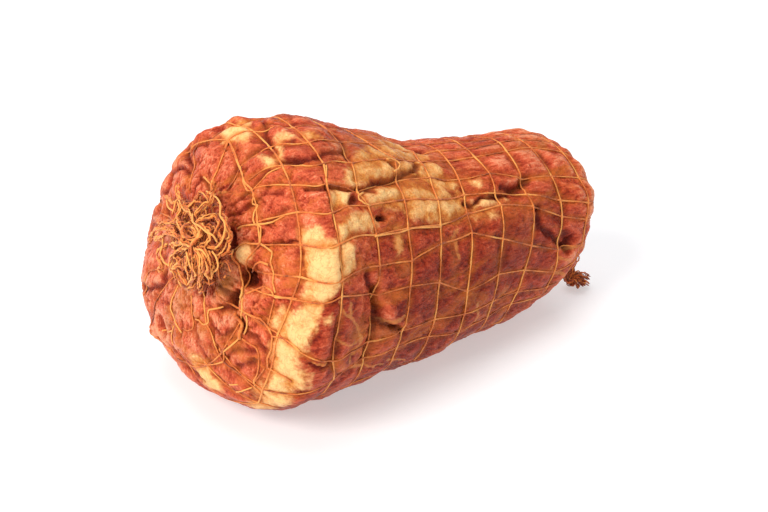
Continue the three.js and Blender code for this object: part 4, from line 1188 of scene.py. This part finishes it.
# The noise patterns: size in mm, detail, distortion, and the fibres' direction.
porkPatterns = {
    "sideFibres": (1.7, 4, 0.6, "along"), "faceFibres": (1.3, 4, 1.0, "down"), "mottle": (10.0, 5, 0.8, ""),
    "broad": (34.0, 3, 0.4, ""), "grain": (0.9, 3, 0.0, ""), "flecks": (2.4, 4, 0.5, ""),
    "smears": (17.0, 5, 1.2, "along"), "veins": (7.0, 4, 1.5, ""),
}
# What each sum is made of: a start value, then how much of each pattern or field of the skin.
porkSums = {
    # The ridge field paints light on what stands proud and shade on what lies low; the light field paints
    # light and shade as well.
    "leanTone": (-0.41, {"fibres": 0.66, "mottle": 0.42, "broad": 0.38, "grain": 0.38,
                         "ridge": 0.14, "light": 0.14}),
    "fatTone": (0.06, {"mottle": 0.56, "flecks": 0.46, "fibres": 0.12,
                       "ridge": 0.20, "tan": -0.44, "fat": 0.11}),
    "fatEdge": (-0.95, {"fat": 1.0, "mottle": 1.1, "flecks": 0.8}),
    "sinew": (-0.62, {"membrane": 1.0, "flecks": 1.1}),
    "relief": (0.0, {"fibres": 0.9, "grain": 0.4, "flecks": 0.5}),
    "roughness": (pork["roughness"], {"mottle": 0.28}),
}
# Colours laid over the lean, in turn: the colour, what it follows and from where to where, the most
# it covers, and the field that it keeps to.
porkLayers = [
    ("membrane", "flecks", 0.60, 0.76, 0.30, ""),
    ("smear", "smears", 0.50, 0.68, 0.62, ""),
    ("tan", "mottle", 0.30, 0.55, 1.0, "tan"),
    # the deep smoky red, partly painted shade on the side and the top
    ("smokeAndShade", "", 0, 0, 0.75, "dark"),
    ("fat", "fatEdge", -0.40, 0.50, 1.0, ""),
    ("membrane", "sinew", 0.30, 0.90, 0.6, ""),
    # amber stain by the cords, partly painted shade in their grooves
    ("cordStainAndShade", "mottle", 0.30, 0.62, 0.6, "nearCord"),
    # painted shade in seams, creases and hollows
    ("creviceShadeRed", "", 0, 0, 0.8, "crevice"),
]


def newFinish(name):
    material = bpy.data.materials.new(name)
    material.use_nodes = True
    material.node_tree.nodes.clear()
    return material, material.node_tree


# The skin's fields, the patterns and their sums, as sockets by name.
def porkValues(tree):
    values = {key: addNode(tree, "ShaderNodeAttribute", {"attribute_name": key}).outputs["Fac"]
              for key in porkFields}
    place = addNode(tree, "ShaderNodeTexCoord").outputs["Object"]
    along = addNode(tree, "ShaderNodeMapping", None, {"Vector": place, "Scale": (pork["fibreStretch"], 1, 1)})
    down = addNode(tree, "ShaderNodeMapping", None, {
        "Vector": place, "Rotation": (pork["faceFibreTilt"], 0, 0), "Scale": (1, 1, pork["fibreStretch"])})
    places = {"": place, "along": along.outputs[0], "down": down.outputs[0]}
    for key, (size, detail, distortion, direction) in porkPatterns.items():
        values[key] = addNode(tree, "ShaderNodeTexNoise", None, {
            "Vector": places[direction], "Scale": perMm(size), "Detail": detail, "Roughness": 0.6,
            "Distortion": distortion}).outputs["Fac"]
    values["fibres"] = addNode(tree, "ShaderNodeMix", None, {
        0: values["onFace"], 2: values["sideFibres"], 3: values["faceFibres"]}).outputs[0]

    for key, (total, shares) in porkSums.items():
        for name, share in shares.items():
            total = addNode(tree, "ShaderNodeMath", {"operation": "MULTIPLY_ADD"},
                            {0: values[name], 1: share, 2: total}).outputs[0]
        values[key] = total
    return values


def porkMaterial():
    material, tree = newFinish("smokedPorkSkin")
    values = porkValues(tree)
    colour, fat = (addNode(tree, "ShaderNodeValToRGB", {"stops": pork[stops]},
                           {"Fac": values[tone]}).outputs["Color"]
                   for stops, tone in (("leanStops", "leanTone"), ("fatStops", "fatTone")))

    # A vein shows where its pattern passes through the middle of its range.
    vein = addNode(tree, "ShaderNodeMath", {"operation": "SUBTRACT"}, {0: values["veins"], 1: 0.5}).outputs[0]
    vein = addNode(tree, "ShaderNodeMath", {"operation": "ABSOLUTE"}, {0: vein}).outputs[0]
    vein = addNode(tree, "ShaderNodeMapRange", None, {
        "Value": vein, "From Max": pork["veinWidth"], "To Min": pork["veinShare"], "To Max": 0.0})
    fat = addNode(tree, "ShaderNodeMix", {"data_type": "RGBA"}, {
        0: vein.outputs["Result"], 6: fat, 7: linear(pork["vein"])}).outputs[2]

    for paint, follows, low, high, share, field in porkLayers:
        if follows:
            share = addNode(tree, "ShaderNodeMapRange", {"interpolation_type": "SMOOTHSTEP"}, {
                "Value": values[follows], "From Min": low, "From Max": high, "To Max": share}).outputs[0]
        if field:
            share = addNode(tree, "ShaderNodeMath", {"operation": "MULTIPLY"},
                            {0: share, 1: values[field]}).outputs[0]
        over = fat if paint == "fat" else linear(pork[paint])
        colour = addNode(tree, "ShaderNodeMix", {"data_type": "RGBA"},
                         {0: share, 6: colour, 7: over}).outputs[2]
    bump = addNode(tree, "ShaderNodeBump", None, {
        "Height": values["relief"], "Strength": 1.0, "Distance": pork["relief"] * metres})
    shader = addNode(tree, "ShaderNodeBsdfPrincipled", {"subsurface_method": "RANDOM_WALK"}, {
        "Base Color": colour, "Roughness": values["roughness"], "IOR": pork["ior"],
        "Specular IOR Level": pork["specular"], "Normal": bump.outputs[0], "Subsurface Weight": pork["glow"],
        "Subsurface Radius": (1.0, 0.35, 0.2), "Subsurface Scale": pork["glowDepth"] * metres})
    addNode(tree, "ShaderNodeOutputMaterial", None, {0: shader.outputs[0]})
    return material


# Elastic netting: rubber cords wrapped in cotton yarn, dyed amber in the smoking. The yarn gives a matt,
# faintly ribbed cord, painted paler where its ribs stand proud: painted light on the ribs' tops.
netting = {
    "stops": [(0.25, "#8a3a10"), (0.55, "#d56c22"), (0.95, "#eca24c")],
    "roughness": 0.72, "ior": 1.5, "sheen": 0.15, "sheenRoughness": 0.5,
    "yarnMm": 1.28, "yarnShare": 0.55,    # the yarn's ribs, drawn somewhat coarser than they are, to show
    "stainMm": 6.0, "stainShare": 0.6,
    "relief": 0.6, "reliefMm": 0.6,
    "netShift": -0.45, "tuftShift": -0.35,  # how far each finish is moved along the stops
}


def cordMaterial(name, shift):
    material, tree = newFinish(name)
    place = addNode(tree, "ShaderNodeTexCoord").outputs["Object"]
    tone = addNode(tree, "ShaderNodeAttribute", {"attribute_name": "pale"}).outputs["Fac"]
    ribs, stain = (addNode(tree, "ShaderNodeTexNoise", None, {
        "Vector": place, "Scale": perMm(size), "Detail": detail}).outputs["Fac"]
        for size, detail in ((netting["yarnMm"], 2.0), (netting["stainMm"], 3.0)))
    # The ribs' pattern raises the bump and pales the colour alike: painted light on the ribs' tops.
    for value, share in ((ribs, netting["yarnShare"]), (stain, netting["stainShare"])):
        tone = addNode(tree, "ShaderNodeMath", {"operation": "MULTIPLY_ADD"},
                       {0: value, 1: share, 2: tone}).outputs[0]
    tone = addNode(tree, "ShaderNodeMath", {"operation": "ADD"}, {0: tone, 1: shift}).outputs[0]
    colour = addNode(tree, "ShaderNodeValToRGB", {"stops": netting["stops"]}, {"Fac": tone}).outputs["Color"]
    bump = addNode(tree, "ShaderNodeBump", None, {
        "Height": ribs, "Strength": netting["relief"], "Distance": netting["reliefMm"] * metres})
    shader = addNode(tree, "ShaderNodeBsdfPrincipled", None, {
        "Base Color": colour, "Roughness": netting["roughness"], "IOR": netting["ior"],
        "Normal": bump.outputs[0], "Sheen Weight": netting["sheen"],
        "Sheen Roughness": netting["sheenRoughness"]})
    addNode(tree, "ShaderNodeOutputMaterial", None, {0: shader.outputs[0]})
    return material


studio = {
    "cameraAt": (-0.342338, -0.718490, 0.494264), "aim": (-0.001713, 0.011984, 0.054824),
    "lens": 75.0, "sensor": 36.0,
    "floorSize": 8.0, "floorDrop": 0.0002, "floorColour": "#cfcfd2", "floorRoughness": 0.9,
    "floorGlow": 0.42,  # lit from below, as a light table
    "world": 0.40,
}
lamps = [  # name, place, aim, size, power, colour
    ("keyLight", (-1.8, -0.75, 1.7), (0, 0, 0.06), 1.3, 58, "#fffaf4"),
    ("topLight", (0.1, 0.5, 2.2), (0, 0, 0.05), 2.0, 26, "#ffffff"),
    ("fillLight", (1.3, -1.9, 0.9), (0, 0, 0.06), 1.8, 4, "#ffffff"),
]


def placeAimed(name, data, at, aim):
    placed = bpy.data.objects.new(name, data)
    placed.location = at
    placed.rotation_euler = (Vector(aim) - Vector(at)).to_track_quat("-Z", "Y").to_euler()
    scene.collection.objects.link(placed)
    return placed


def addCamera():
    camera = bpy.data.cameras.new("camera")
    camera.lens = studio["lens"]
    camera.sensor_width = studio["sensor"]
    scene.camera = placeAimed("camera", camera, studio["cameraAt"], studio["aim"])


def addLamps():
    for name, place, aim, size, power, colour in lamps:
        light = bpy.data.lights.new(name, "AREA")
        light.shape = "DISK"
        light.size = size
        light.energy = power
        light.color = linear(colour)[:3]
        placeAimed(name, light, place, aim)
    world = bpy.data.worlds.new("softbox")
    world.use_nodes = True
    world.node_tree.nodes["Background"].inputs["Color"].default_value = (1, 1, 1, 1)
    world.node_tree.nodes["Background"].inputs["Strength"].default_value = studio["world"]
    scene.world = world
    scene.view_settings.view_transform = "Standard"


def addFloor():
    half = studio["floorSize"] / 2
    corners = np.array([(x * half, y * half, -studio["floorDrop"])
                        for x, y in ((-1, -1), (1, -1), (1, 1), (-1, 1))])
    floor = meshPiece("studioFloor", corners / metres, [(0, 1, 2, 3)])
    paper, tree = newFinish("paleMattPaper")  # uncoated paper: white, matt and even
    shader = addNode(tree, "ShaderNodeBsdfPrincipled", None, {
        "Base Color": linear(studio["floorColour"]), "Roughness": studio["floorRoughness"],
        "Emission Color": (1, 1, 1, 1), "Emission Strength": studio["floorGlow"]})
    addNode(tree, "ShaderNodeOutputMaterial", None, {0: shader.outputs[0]})
    floor.data.materials.append(paper)


addCamera()
addLamps()
addFloor()
print("studio made")
porkPiece, porkPoints, porkFaces = makePork()
netPiece = makeNet(porkPoints, porkFaces)
nearPiece = makeNearTuft()
farPiece = makeFarTuft()
porkPiece.data.materials.append(porkMaterial())
netPiece.data.materials.append(cordMaterial("amberElasticNet", netting["netShift"]))
tuftFinish = cordMaterial("gatheredCottonNet", netting["tuftShift"])
nearPiece.data.materials.append(tuftFinish)
farPiece.data.materials.append(tuftFinish)
print("finishes made")

for piece, slot, node in (
        (porkPiece, "smoked_pork", "pork"), (netPiece, "net_cord", "netting"),
        (nearPiece, "net_tuft", "near_tuft"), (farPiece, "net_tuft", "far_tuft")):
    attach(piece, "root")
    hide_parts(node)
